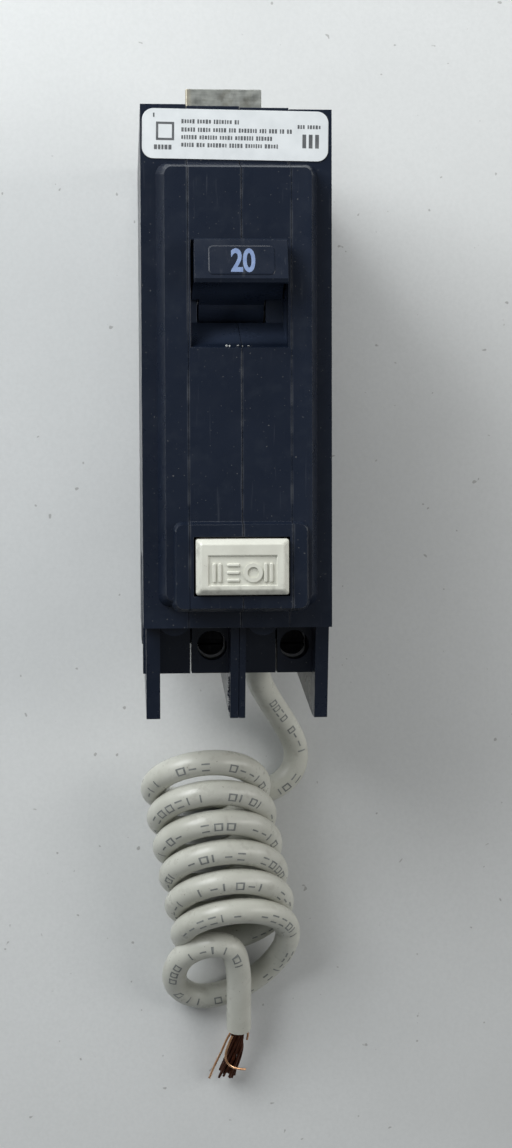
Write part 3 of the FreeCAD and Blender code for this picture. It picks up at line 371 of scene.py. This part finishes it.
def button_plastic(name):
    """Off-white glossy plastic, greyed with handling along its edges and in its corners."""
    finish = Finish(name, roughness=0.34, specular=0.5)
    tone = finish.rescale(finish.noise(3.0, detail=4.0), 0.35, 0.7)
    colour = finish.mix(tone, (0.66, 0.66, 0.585), (0.59, 0.585, 0.515))
    low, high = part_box("test_button")
    middle, half = (low + high) / 2 / MM, (high - low) / 2 / MM
    edge = finish.math(
        "MAXIMUM",
        finish.math("SUBTRACT", 1.0, finish.near("X", middle.x, 2 * half.x - 2.0, 0.9)),
        finish.math("SUBTRACT", 1.0, finish.near("Y", middle.y + 0.35, 2 * half.y - 4.2, 0.8)),
    )
    dirt = finish.rescale(finish.noise(0.9, detail=5.0, shift=4.0), 0.48, 0.72)
    soiled = finish.math("MULTIPLY", finish.math("MULTIPLY", edge, dirt), 0.6)
    colour = finish.mix(soiled, colour, (0.30, 0.30, 0.26))
    specks = finish.rescale(finish.noise(0.3, detail=1.0, shift=8.0), 0.74, 0.79, 0, 0.35)
    finish.colour(finish.mix(specks, colour, (0.2, 0.19, 0.16)))
    finish.rough(finish.noise(1.5, shift=6.0), 0.28, 0.42)
    finish.bump(finish.noise(1.2, detail=3.0, shift=2.0), 0.3, 0.05)
    return finish


def insulation(name):
    """The wire's off-white sheath: a soft gloss, a drawn grain and grey handling marks."""
    finish = Finish(name, roughness=0.3, specular=0.5)
    tone = finish.rescale(finish.noise(6.0, detail=4.0), 0.35, 0.7)
    colour = finish.mix(tone, (0.56, 0.56, 0.50), (0.48, 0.48, 0.42))
    smudge = finish.rescale(finish.noise(1.6, detail=6.0, shift=3.0), 0.56, 0.76, 0, 0.5)
    colour = finish.mix(smudge, colour, (0.36, 0.345, 0.30))
    specks = finish.rescale(finish.noise(0.4, detail=1.0, shift=8.0), 0.745, 0.79, 0, 0.6)
    finish.colour(finish.mix(specks, colour, (0.16, 0.13, 0.10)))
    finish.rough(finish.noise(2.0, shift=6.0), 0.24, 0.42)
    finish.bump(finish.noise(0.8, detail=3.0, shift=1.0), 0.22, 0.04)
    return finish


def label_paper(name):
    """A white coated sticker with a faint mottle and grey handling at its rim."""
    finish = Finish(name, roughness=0.42, specular=0.4)
    tone = finish.rescale(finish.noise(2.5, detail=5.0), 0.35, 0.7)
    colour = finish.mix(tone, (0.68, 0.705, 0.715), (0.61, 0.635, 0.645))
    low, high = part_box("rating_label")
    middle, half = (low + high) / 2 / MM, (high - low) / 2 / MM
    rim = finish.math(
        "MAXIMUM",
        finish.math("SUBTRACT", 1.0, finish.near("X", middle.x, 2 * half.x - 0.5, 0.25)),
        finish.math("SUBTRACT", 1.0, finish.near("Y", middle.y, 2 * half.y - 0.4, 0.2)),
    )
    worn = finish.math("MULTIPLY", rim, finish.rescale(finish.noise(0.7, detail=4.0), 0.4, 0.7))
    finish.colour(finish.mix(finish.math("MULTIPLY", worn, 0.5), colour, (0.35, 0.36, 0.37)))
    finish.rough(finish.noise(1.0, shift=5.0), 0.36, 0.5)
    finish.bump(finish.noise(3.0, detail=2.0), 0.2, 0.05)
    return finish


def terminal_metal(name):
    """Dull tinned copper: drawn streaks, a dark stain and a warm tint towards one edge."""
    finish = Finish(name, roughness=0.42, metallic=1.0)
    streaks = finish.noise(0.7, detail=4.0, stretch=(0.12, 1.0, 1.0))
    colour = finish.mix(finish.rescale(streaks, 0.3, 0.7), (0.30, 0.31, 0.285), (0.43, 0.44, 0.41))
    stain = finish.rescale(finish.noise(2.4, detail=4.0, shift=2.0), 0.52, 0.68, 0, 0.7)
    colour = finish.mix(stain, colour, (0.19, 0.185, 0.155))
    warm = finish.rescale(finish.axis("X"), -5.6 * MM, -4.6 * MM, 0.5, 0)
    finish.colour(finish.mix(warm, colour, (0.50, 0.41, 0.26)))
    finish.rough(finish.noise(1.3, detail=4.0, shift=4.0), 0.34, 0.56)
    finish.bump(streaks, 0.35, 0.03)
    return finish


def metal(name, dark, light, roughness, streak=(1.0, 0.1, 1.0)):
    """Bare or plated metal with drawn streaks and a slight tarnish."""
    finish = Finish(name, roughness=roughness, metallic=1.0)
    streaks = finish.noise(0.5, detail=4.0, stretch=streak)
    colour = finish.mix(finish.rescale(streaks, 0.3, 0.7), dark, light)
    tarnish = finish.rescale(finish.noise(1.8, detail=5.0, shift=3.0), 0.5, 0.75, 0, 0.5)
    finish.colour(finish.mix(tarnish, colour, tuple(0.45 * part for part in dark)))
    finish.rough(finish.noise(1.2, shift=6.0), roughness * 0.75, roughness * 1.3)
    finish.bump(streaks, 0.3, 0.015)
    return finish


def floor_paper(name):
    """Pale matt paper with a faint grain and a few specks of dust."""
    finish = Finish(name, roughness=0.75, specular=0.25)
    tone = finish.rescale(finish.noise(45.0, detail=5.0), 0.3, 0.7)
    colour = finish.mix(tone, (0.66, 0.67, 0.665), (0.61, 0.62, 0.615))
    fibre = finish.rescale(finish.noise(0.6, detail=5.0, shift=2.0), 0.35, 0.7, 0, 0.35)
    colour = finish.mix(fibre, colour, (0.56, 0.57, 0.565))
    specks = finish.rescale(finish.noise(1.4, detail=1.0, shift=6.0), 0.775, 0.80, 0, 0.55)
    finish.colour(finish.mix(specks, colour, (0.22, 0.21, 0.20)))
    finish.bump(finish.noise(0.5, detail=4.0), 0.25, 0.03)
    return finish


def make_finishes():
    """One material for each slot of the record, and the extra ones that only the looks need."""
    finishes = {
        "case": case_plastic("case_plastic"),
        "handle": case_plastic("handle_plastic", dusty=0.7),
        "button": button_plastic("button_plastic"),
        "label": label_paper("label_paper"),
        "steel": metal("plated_steel", (0.42, 0.42, 0.41), (0.60, 0.60, 0.59), 0.35),
        "terminal_metal": terminal_metal("tinned_copper"),
        # Painted shade: the screws are near black so that the deep access holes they sit in read dark.
        "screw_steel": metal("screw_steel", (0.016, 0.016, 0.018), (0.03, 0.03, 0.032), 0.5),
        "lug_aluminium": metal("lug_aluminium", (0.50, 0.50, 0.50), (0.66, 0.66, 0.66), 0.38),
        "contact_metal": metal("silver_contact", (0.62, 0.61, 0.58), (0.80, 0.79, 0.76), 0.3),
        "copper": metal("dull_copper", (0.48, 0.22, 0.12), (0.66, 0.34, 0.20), 0.35),
        "fibre": general("fibre", (0.36, 0.31, 0.25), (0.46, 0.40, 0.33), roughness=0.7),
        "wire_insulation": insulation("wire_insulation"),
        "toroid_tape": general("toroid_tape", (0.62, 0.50, 0.15), (0.72, 0.62, 0.24), size=1.2),
        "board": general("board_laminate", (0.05, 0.17, 0.07), (0.09, 0.24, 0.11), roughness=0.4),
        "component_black": general("epoxy", (0.018, 0.018, 0.020), (0.03, 0.03, 0.033), size=1.0),
        "component_blue": general("dipped", (0.05, 0.12, 0.36), (0.08, 0.17, 0.44), roughness=0.25),
        "component_tan": general("lacquer", (0.52, 0.40, 0.24), (0.64, 0.52, 0.34), roughness=0.35),
        "floor": floor_paper("floor_paper"),
        "ink": general("label_ink", (0.07, 0.075, 0.08), (0.12, 0.125, 0.13), 1.0, roughness=0.6),
        "wire_ink": general("wire_ink", (0.16, 0.17, 0.165), (0.26, 0.27, 0.26), 0.8),
        "number": general("number_ink", (0.14, 0.20, 0.36), (0.20, 0.27, 0.43), 1.0),
        "dark_copper": metal("tarnished_copper", (0.065, 0.024, 0.015), (0.15, 0.06, 0.036), 0.42),
        "bright_copper": metal("bright_copper", (0.72, 0.36, 0.18), (0.95, 0.62, 0.38), 0.24),
        "residue": general("pale_residue", (0.40, 0.41, 0.40), (0.60, 0.61, 0.60), 0.5),
    }
    return {slot: finish.material for slot, finish in finishes.items()}


def dress_cad(finishes):
    """Give every CAD node the finish of its record slot."""
    for part in frame["record"]["subparts"]:
        for holder in NODES[part["node"]].material_slots:
            holder.material = finishes[part["material_slot"]]


def soften(name, width, segments=3, angle=30):
    """Round a CAD node's sharp edges by that much, in millimetres."""
    item = NODES[name]
    weld = item.modifiers.new("weld", "WELD")
    weld.merge_threshold = 0.001 * MM
    flat = item.modifiers.new("flat", "DECIMATE")
    flat.decimate_type = "DISSOLVE"
    flat.angle_limit = math.radians(0.5)
    bevel = item.modifiers.new("bevel", "BEVEL")
    bevel.width = width * MM
    bevel.segments = segments
    bevel.limit_method = "ANGLE"
    bevel.angle_limit = math.radians(angle)
    bevel.harden_normals = True
    bevel.use_clamp_overlap = True


# ---------------------------------------------------------------- mesh helpers


def mesh_object(name, mesh, material, body):
    """Turn a bmesh into an object with a finish, riding on a body."""
    data = bpy.data.meshes.new(name)
    bmesh.ops.recalc_face_normals(mesh, faces=mesh.faces)
    mesh.to_mesh(data)
    mesh.free()
    item = bpy.data.objects.new(name, data)
    put_in_scene(item)
    item.data.materials.append(material)
    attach(item, body)
    return item


def closed_strip(mesh, outer, inner):
    """A closed thin solid between two equal grids of points, given as rows."""
    rows, columns = len(outer), len(outer[0])
    top = [[mesh.verts.new(point) for point in row] for row in outer]
    under = [[mesh.verts.new(point) for point in row] for row in inner]
    for i in range(rows - 1):
        for j in range(columns - 1):
            for grid in (top, under):
                mesh.faces.new((grid[i][j], grid[i + 1][j], grid[i + 1][j + 1], grid[i][j + 1]))
    for i in range(rows - 1):
        for j in (0, columns - 1):
            mesh.faces.new((top[i][j], top[i + 1][j], under[i + 1][j], under[i][j]))
    for j in range(columns - 1):
        for i in (0, rows - 1):
            mesh.faces.new((top[i][j], top[i][j + 1], under[i][j + 1], under[i][j]))


def slab(mesh, x, along, low, high):
    """A thin block between two heights, with its sides given as pairs in millimetres."""
    grids = [
        [[place(a, b, height) for a in x] for b in along]
        for height in (high, low)
    ]
    closed_strip(mesh, *grids)


def ring(mesh, centre, radius, stroke, low, high, steps=36):
    """A flat ring round (X, along), in millimetres."""
    grids = []
    for height in (high, low):
        rows = []
        for step in range(steps + 1):
            angle = 2 * math.pi * step / steps
            rows.append(
                [
                    place(
                        centre[0] + reach * math.cos(angle),
                        centre[1] - reach * math.sin(angle),
                        height,
                    )
                    for reach in (radius - stroke, radius)
                ]
            )
        grids.append(rows)
    closed_strip(mesh, *grids)


# ---------------------------------------------------------------- the label's print


# The print is turned by these degrees round the label's lower left corner, and moved up.
LABEL_SKEW = 0.7
LABEL_CORNER = (-12.5, 6.7)
LABEL_RISE = 0.2

# The rows of small print: the place along the case, and where the row starts and ends in X.
LABEL_ROWS = ((1.98, -7.3, 0.3), (3.06, -7.3, 7.5), (4.05, -7.3, 5.2), (5.05, -7.3, 5.8))


def label_print(finishes):
    """Plain bars in place of the label's text, a square frame and three bars in place of its marks."""
    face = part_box("rating_label")[1].z / MM
    low, high = face - 0.03, face + 0.012
    chance = random.Random(11)
    mesh = bmesh.new()

    def words(start, end, middle, height, thickness):
        """A row of upright strokes in groups, from start to end."""
        x = start
        while x < end - 0.3:
            for _ in range(chance.randint(2, 7)):
                wide = chance.uniform(0.7, 1.25) * thickness
                tall = height * chance.choice((1.0, 1.0, 0.86))
                if x + wide > end:
                    break
                slab(mesh, (x, x + wide), (middle - tall / 2, middle + tall / 2), low, high)
                x += wide + 0.13
            x += 0.26

    for middle, start, end in LABEL_ROWS:
        words(start, end, middle, 0.56, 0.24)
    words(-10.9, -8.0, 5.4, 0.62, 0.34)
    words(8.1, 11.3, 2.42, 0.5, 0.24)
    slab(mesh, (-11.05, -10.85), (0.95, 1.5), low, high)
    for x in ((-10.65, -10.35), (-8.55, -8.25)):
        slab(mesh, x, (2.4, 4.2), low, high)
    for along in ((2.1, 2.4), (4.2, 4.5)):
        slab(mesh, (-10.65, -8.25), along, low, high)
    for left in (8.75, 9.6, 10.45):
        slab(mesh, (left, left + 0.5), (3.4, 5.2), low, high)
    corner = place(*LABEL_CORNER, 0)
    turn = Matrix.Rotation(math.radians(-LABEL_SKEW), 4, "Z")
    bmesh.ops.rotate(mesh, verts=mesh.verts, cent=corner, matrix=turn)
    bmesh.ops.translate(mesh, verts=mesh.verts, vec=(0, LABEL_RISE * MM, 0))
    mesh_object("label_print", mesh, finishes["ink"], "case")


# ---------------------------------------------------------------- the handle's pad and the button

# The handle turns round PIVOT, (along, height). Its pad lies PAD_REACH from there.
HANDLE_TILT = math.radians(17.0)
PIVOT = (24.8, 46.5)
PAD_REACH = 16.6
PAD_MIDDLE = 0.18
PAD_SHIFT = -0.9
PLATE_HALF_SIZE = (4.35, 2.05)
NUMBER_SIZE = 4.35
NUMBER_WEIGHT = 0.12
NUMBER_PLACE = (0.18, -0.25, 0.115)
NUMBER_NARROW = 0.74


def on_pad(across, up, out):
    """A point from places on the pad: to the right, towards the line end, and out of its face."""
    normal = Vector((0, math.sin(HANDLE_TILT), math.cos(HANDLE_TILT)))
    upward = Vector((0, math.cos(HANDLE_TILT), -math.sin(HANDLE_TILT)))
    centre = place(PAD_MIDDLE, *PIVOT) + normal * PAD_REACH * MM
    return centre + Vector((across, 0, 0)) * MM + (upward * (up + PAD_SHIFT) + normal * out) * MM


def rounded_outline(half_width, half_height, corner, steps=6):
    """The corner points of a rounded rectangle round the origin."""
    outline = []
    for index, (side, upward) in enumerate(((1, 1), (-1, 1), (-1, -1), (1, -1))):
        for step in range(steps + 1):
            angle = math.pi / 2 * (index + step / steps)
            outline.append(
                (
                    side * (half_width - corner) + corner * math.cos(angle),
                    upward * (half_height - corner) + corner * math.sin(angle),
                )
            )
    return outline


def plateau(mesh, outline, spot, heights, insets):
    """A raised plate: the outline at each height and inset, joined up and closed at both ends."""
    rings = []
    reach_x = max(x for x, _ in outline)
    reach_y = max(y for _, y in outline)
    for height, inset in zip(heights, insets):
        rings.append(
            [
                mesh.verts.new(spot(x * (1 - inset / reach_x), y * (1 - inset / reach_y), height))
                for x, y in outline
            ]
        )
    for lower, upper in zip(rings, rings[1:]):
        for i in range(len(outline)):
            after = (i + 1) % len(outline)
            mesh.faces.new((lower[i], lower[after], upper[after], upper[i]))
    mesh.faces.new(rings[0])
    mesh.faces.new(rings[-1])


def handle_details(finishes):
    """The pad's inner plate and the printed rating number."""
    mesh = bmesh.new()
    outline = rounded_outline(*PLATE_HALF_SIZE, 0.6)
    plateau(mesh, outline, on_pad, (-0.1, 0.0, 0.08, 0.11), (0.0, 0.0, 0.08, 0.2))
    plate = mesh_object("handle_pad_plate", mesh, finishes["handle"], "handle")

    text = bpy.data.curves.new("handle_number", "FONT")
    text.body = "20"
    text.size = NUMBER_SIZE * MM
    text.offset = NUMBER_WEIGHT * MM
    text.extrude = 0.02 * MM
    text.align_x = "CENTER"
    text.align_y = "CENTER"
    text.space_character = 0.98
    number = bpy.data.objects.new("handle_number", text)
    put_in_scene(number)
    text.materials.append(finishes["number"])
    centre = on_pad(*NUMBER_PLACE)
    right = Vector((1, 0, 0))
    upward = (on_pad(0, 1, 0) - on_pad(0, 0, 0)).normalized()
    turn = Matrix((right, upward, right.cross(upward))).transposed().to_4x4()
    narrow = Matrix.Diagonal((NUMBER_NARROW, 1.0, 1.0, 1.0))
    number.matrix_world = Matrix.Translation(centre) @ turn @ narrow
    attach(number, "handle")


# The place along the case of the middle of the button's marks.
BUTTON_MIDDLE = 61.2


def button_details(finishes):
    """Plain raised marks where the button's word would be: bars and a ring."""
    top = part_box("test_button")[1].z / MM
    low, high = top - 0.45, top - 0.02
    mesh = bmesh.new()

    def bar(x, along, half_width, half_height):
        outline = rounded_outline(half_width, half_height, min(half_width, half_height) * 0.6, 3)

        def spot(across, up, height):
            return place(x + across, along - up, height)

        plateau(mesh, outline, spot, (low, high - 0.08, high), (0.0, 0.05, 0.14))

    for x in (-3.5, -2.75, 3.25, 4.0):
        bar(x, BUTTON_MIDDLE, 0.26, 1.3)
    for along in (BUTTON_MIDDLE - 1, BUTTON_MIDDLE, BUTTON_MIDDLE + 1):
        bar(-1.0, along, 0.85, 0.24)
    ring(mesh, (1.6, BUTTON_MIDDLE), 1.25, 0.5, low, high - 0.02)
    marks = mesh_object("button_marks", mesh, finishes["button"], "test_button")


def button_spring():
    """A copy of the return spring's CAD solid; the real spring squeezes as the button goes in."""
    solid = NODES["test_button_spring"]
    item = bpy.data.objects.new("button_spring", solid.data.copy())
    item.matrix_world = solid.matrix_world.copy()
    put_in_scene(item)
    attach(item, "case")
    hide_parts("test_button_spring")
    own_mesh(item)


# ---------------------------------------------------------------- wear on the case


def chips(name, spots, size, finish, body, seed):
    """Small irregular crumbs of that size at places given in millimetres."""
    chance = random.Random(seed)
    mesh = bmesh.new()
    for x, along, height in spots:
        made = bmesh.ops.create_icosphere(mesh, subdivisions=2, radius=size * MM)
        centre = place(x, along, height)
        stretch = Vector([chance.uniform(0.45, 1.3) for _ in range(3)])
        for vertex in made["verts"]:
            jitter = 1 + chance.uniform(-0.25, 0.25)
            vertex.co = centre + Vector([a * b * jitter for a, b in zip(vertex.co, stretch)])
    mesh_object(name, mesh, finish, body)


# The X of the middle barrier leg's left side: its middle, less half its width.
LEG_SIDE = 0.27 - 1.05


def add_wear(finishes):
    """Moulding flash on the middle barrier leg and crumbs in the handle's window."""
    chance = random.Random(5)
    flash = [
        (LEG_SIDE - 0.02, 76.6 + 0.33 * i, 47.6 + chance.uniform(-0.5, 0.5)) for i in range(15)
    ]
    chips("leg_flash", flash, 0.24, finishes["case"], "case", 3)
    pale = [(LEG_SIDE - 0.12, 76.9 + 0.66 * i, 46.9 + chance.uniform(-0.4, 0.4)) for i in range(7)]
    chips("leg_residue", pale, 0.15, finishes["residue"], "case", 4)
    crumbs = [
        (-1.6, 31.55, 58.75),
        (-1.2, 31.6, 58.8),
        (-0.1, 31.5, 58.6),
        (0.5, 31.6, 58.8),
        (1.3, 31.55, 58.7),
    ]
    chips("window_dust", crumbs, 0.13, finishes["residue"], "case", 6)


# ---------------------------------------------------------------- the wire's print and strands


# The marks' strokes, half of their height, and the bare stretch at each end of the wire.
MARK_STROKE = 0.24
MARK_HALF_HEIGHT = 0.65
BARE_START, BARE_END = 12.0, 16.0
MARK_SPACING = 1.75
GROUP_GAP = 2.2


def wire_print(wire, finishes):
    """Plain ticks along the wire's outer side, in groups, in place of its printed text."""
    line = centreline(wire)
    lengths = [0.0]
    for before, after in zip(line, line[1:]):
        lengths.append(lengths[-1] + (after - before).length)
    chance = random.Random(21)
    mesh = bmesh.new()
    axis_point = place(*COIL_START, 8.0)

    def frame_at(distance):
        """A point of the centreline, the way its print faces there, and the way round the wire.

        The print faces upward, leaning towards the load end and away from the coil's axis.
        """
        index = next((i for i, reach in enumerate(lengths) if reach > distance), len(lengths) - 1)
        index = max(index, 1)
        share = (distance - lengths[index - 1]) / max(lengths[index] - lengths[index - 1], 1e-9)
        spot = line[index - 1].lerp(line[index], share)
        forward = (line[index] - line[index - 1]).normalized()
        outward = Vector((spot.x - axis_point.x, 0, spot.z - axis_point.z)) * 30
        facing = Vector((0, -0.25, 1.0)) + outward
        facing = (facing - forward * facing.dot(forward)).normalized()
        return spot, facing, forward.cross(facing)

    def tick(start, end, low, high):
        """A mark between two distances along the wire, and two distances round it, all in mm."""
        grids = []
        for radius in (WIRE_RADIUS + 0.012, WIRE_RADIUS - 0.05):
            rows = []
            for along in (start, (start + end) / 2, end):
                spot, facing, side = frame_at(along * MM)
                row = []
                for step in range(5):
                    angle = (low + (high - low) * step / 4) / WIRE_RADIUS
                    around = facing * math.cos(angle) + side * math.sin(angle)
                    row.append(spot + around * radius * MM)
                rows.append(row)
            grids.append(rows)
        closed_strip(mesh, *grids)

    half = MARK_HALF_HEIGHT
    distance = BARE_START
    end = lengths[-1] / MM - BARE_END
    while distance < end:
        for _ in range(chance.randint(3, 6)):
            kind = chance.choice(("bar", "dash", "pair", "frame"))
            if kind == "bar":
                tick(distance, distance + MARK_STROKE, -half, half)
            elif kind == "dash":
                tick(distance, distance + 1.0, -0.12, 0.12)
            elif kind == "pair":
                tick(distance, distance + 1.1, 0.41, half)
                tick(distance, distance + 1.1, -half, -0.41)
            else:
                tick(distance, distance + MARK_STROKE, -0.42, 0.42)
                tick(distance + 1.0, distance + 1.24, -0.42, 0.42)
                tick(distance, distance + 1.24, 0.42, half)
                tick(distance, distance + 1.24, -half, -0.42)
            distance += MARK_SPACING
        distance += GROUP_GAP
    return mesh_object("wire_print", mesh, finishes["wire_ink"], "case")


# The middle of the bundle where it leaves the sheath, halfway along and at its end.
STRAND_ROOT = (2.8, 138.4, 5.3)
STRAND_MIDDLE = (2.3, 142.8, 4.1)
STRAND_END = (0.9, 147.4, 2.2)
STRAND_COUNT = 26
BUNDLE_RADIUS = 1.15

# The three strands that stray from the bundle.
ASTRAY = (
    (
        (1.9, 138.6, 5.6),
        (0.9, 140.4, 5.0),
        (0.0, 143.0, 4.0),
        (-1.1, 145.6, 2.8),
        (-1.9, 148.2, 1.4),
    ),
    (
        (1.7, 139.8, 6.0),
        (0.7, 142.0, 5.6),
        (0.5, 144.2, 5.2),
        (1.9, 145.7, 4.8),
        (3.9, 146.0, 4.2),
    ),
    ((4.0, 138.6, 5.9), (4.4, 139.6, 5.5), (4.1, 140.8, 5.0)),
)


def strands(finishes):
    """The bared end: a loose dark bundle of thin strands, with three bright ones astray."""
    chance = random.Random(8)
    bundle = new_curve("strand_bundle", 0.2, 2)
    for number in range(STRAND_COUNT):
        angle = 2.4 * number
        reach = BUNDLE_RADIUS * math.sqrt((number + 0.5) / STRAND_COUNT)
        side, up = reach * math.cos(angle), reach * math.sin(angle)
        root = place(STRAND_ROOT[0] + side, STRAND_ROOT[1], STRAND_ROOT[2] + up)
        spread = chance.uniform(0.75, 1.25)
        twist = angle + 0.9
        middle = place(
            STRAND_MIDDLE[0] + spread * reach * 1.1 * math.cos(twist),
            STRAND_MIDDLE[1] + chance.uniform(-0.4, 0.4),
            STRAND_MIDDLE[2] + spread * reach * 0.9 * math.sin(twist),
        )
        tip = place(
            STRAND_END[0] + spread * reach * 1.25 * math.cos(twist + 0.6),
            STRAND_END[1] + chance.uniform(-1.3, 0.7),
            max(STRAND_END[2] + spread * reach * math.sin(twist + 0.6), 0.4),
        )
        add_spline(bundle.data, [root, root.lerp(middle, 0.5), middle, tip])
    bundle.data.materials.append(finishes["dark_copper"])
    astray = new_curve("strand_astray", 0.19, 2)
    for route in ASTRAY:
        add_spline(astray.data, [place(*spot) for spot in route])
    astray.data.materials.append(finishes["bright_copper"])
    return bundle, astray


# ---------------------------------------------------------------- the stage


FLOOR_HALF_SIZE = 1.5
FLOOR_DROP = 0.0001


def add_floor(finishes):
    """A flat sheet of paper just under the object."""
    mesh = bmesh.new()
    bmesh.ops.create_grid(mesh, x_segments=1, y_segments=1, size=FLOOR_HALF_SIZE)
    data = bpy.data.meshes.new("floor")
    mesh.to_mesh(data)
    mesh.free()
    floor = bpy.data.objects.new("floor", data)
    floor.location.z = -FLOOR_DROP
    put_in_scene(floor)
    data.materials.append(finishes["floor"])


def add_light(name, where, towards, size, power, colour):
    data = bpy.data.lights.new(name, "AREA")
    data.shape = "RECTANGLE"
    data.size, data.size_y = size
    data.energy = power
    data.color = colour
    light = bpy.data.objects.new(name, data)
    light.location = where
    aim = Vector(towards) - Vector(where)
    light.rotation_euler = aim.to_track_quat("-Z", "Y").to_euler()
    put_in_scene(light)


def add_lights():
    """A wide soft light on the left and weaker ones past the line end and on the right."""
    pale, warm = (0.96, 0.985, 1.0), (1.0, 0.985, 0.96)
    add_light("window_light", (-0.23, 0.19, 0.25), (-0.02, 0.03, 0), (0.24, 0.26), 1.35, pale)
    add_light("end_light", (-0.08, 0.30, 0.18), (-0.02, 0.10, 0), (0.30, 0.10), 0.60, pale)
    add_light("room_light", (0.30, 0.02, 0.20), (0, -0.03, 0.03), (0.12, 0.34), 0.55, warm)
    world = bpy.data.worlds.new("room")
    world.use_nodes = True
    background = world.node_tree.nodes["Background"]
    background.inputs["Color"].default_value = (0.80, 0.84, 0.87, 1)
    background.inputs["Strength"].default_value = 0.22
    bpy.context.scene.world = world


# ---------------------------------------------------------------- the whole


add_camera()
wire = add_pigtail()
materials = make_finishes()
wire.data.materials.append(materials["wire_insulation"])
strand_bundle, strand_astray = strands(materials)
wire_marks = wire_print(wire, materials)
for piece in (wire, strand_bundle, strand_astray):
    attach(piece, "case")
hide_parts("pigtail_lead", "pigtail_coil", "pigtail_tail")
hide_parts("copper_strands")

dress_cad(materials)
for part in ("left_cover", "left_housing", "right_housing", "right_cover"):
    soften(part, 0.2)
soften("handle", 0.3)
soften("test_button", 0.18)
soften("line_terminal", 0.15)
soften("rating_label", 0.04, segments=2)
for part in ("power_screw", "neutral_screw", "power_lug", "neutral_lug"):
    soften(part, 0.12, segments=2)

label_print(materials)
handle_details(materials)
button_details(materials)
button_spring()
add_wear(materials)
add_floor(materials)
add_lights()
bpy.context.scene.view_settings.view_transform = "Standard"
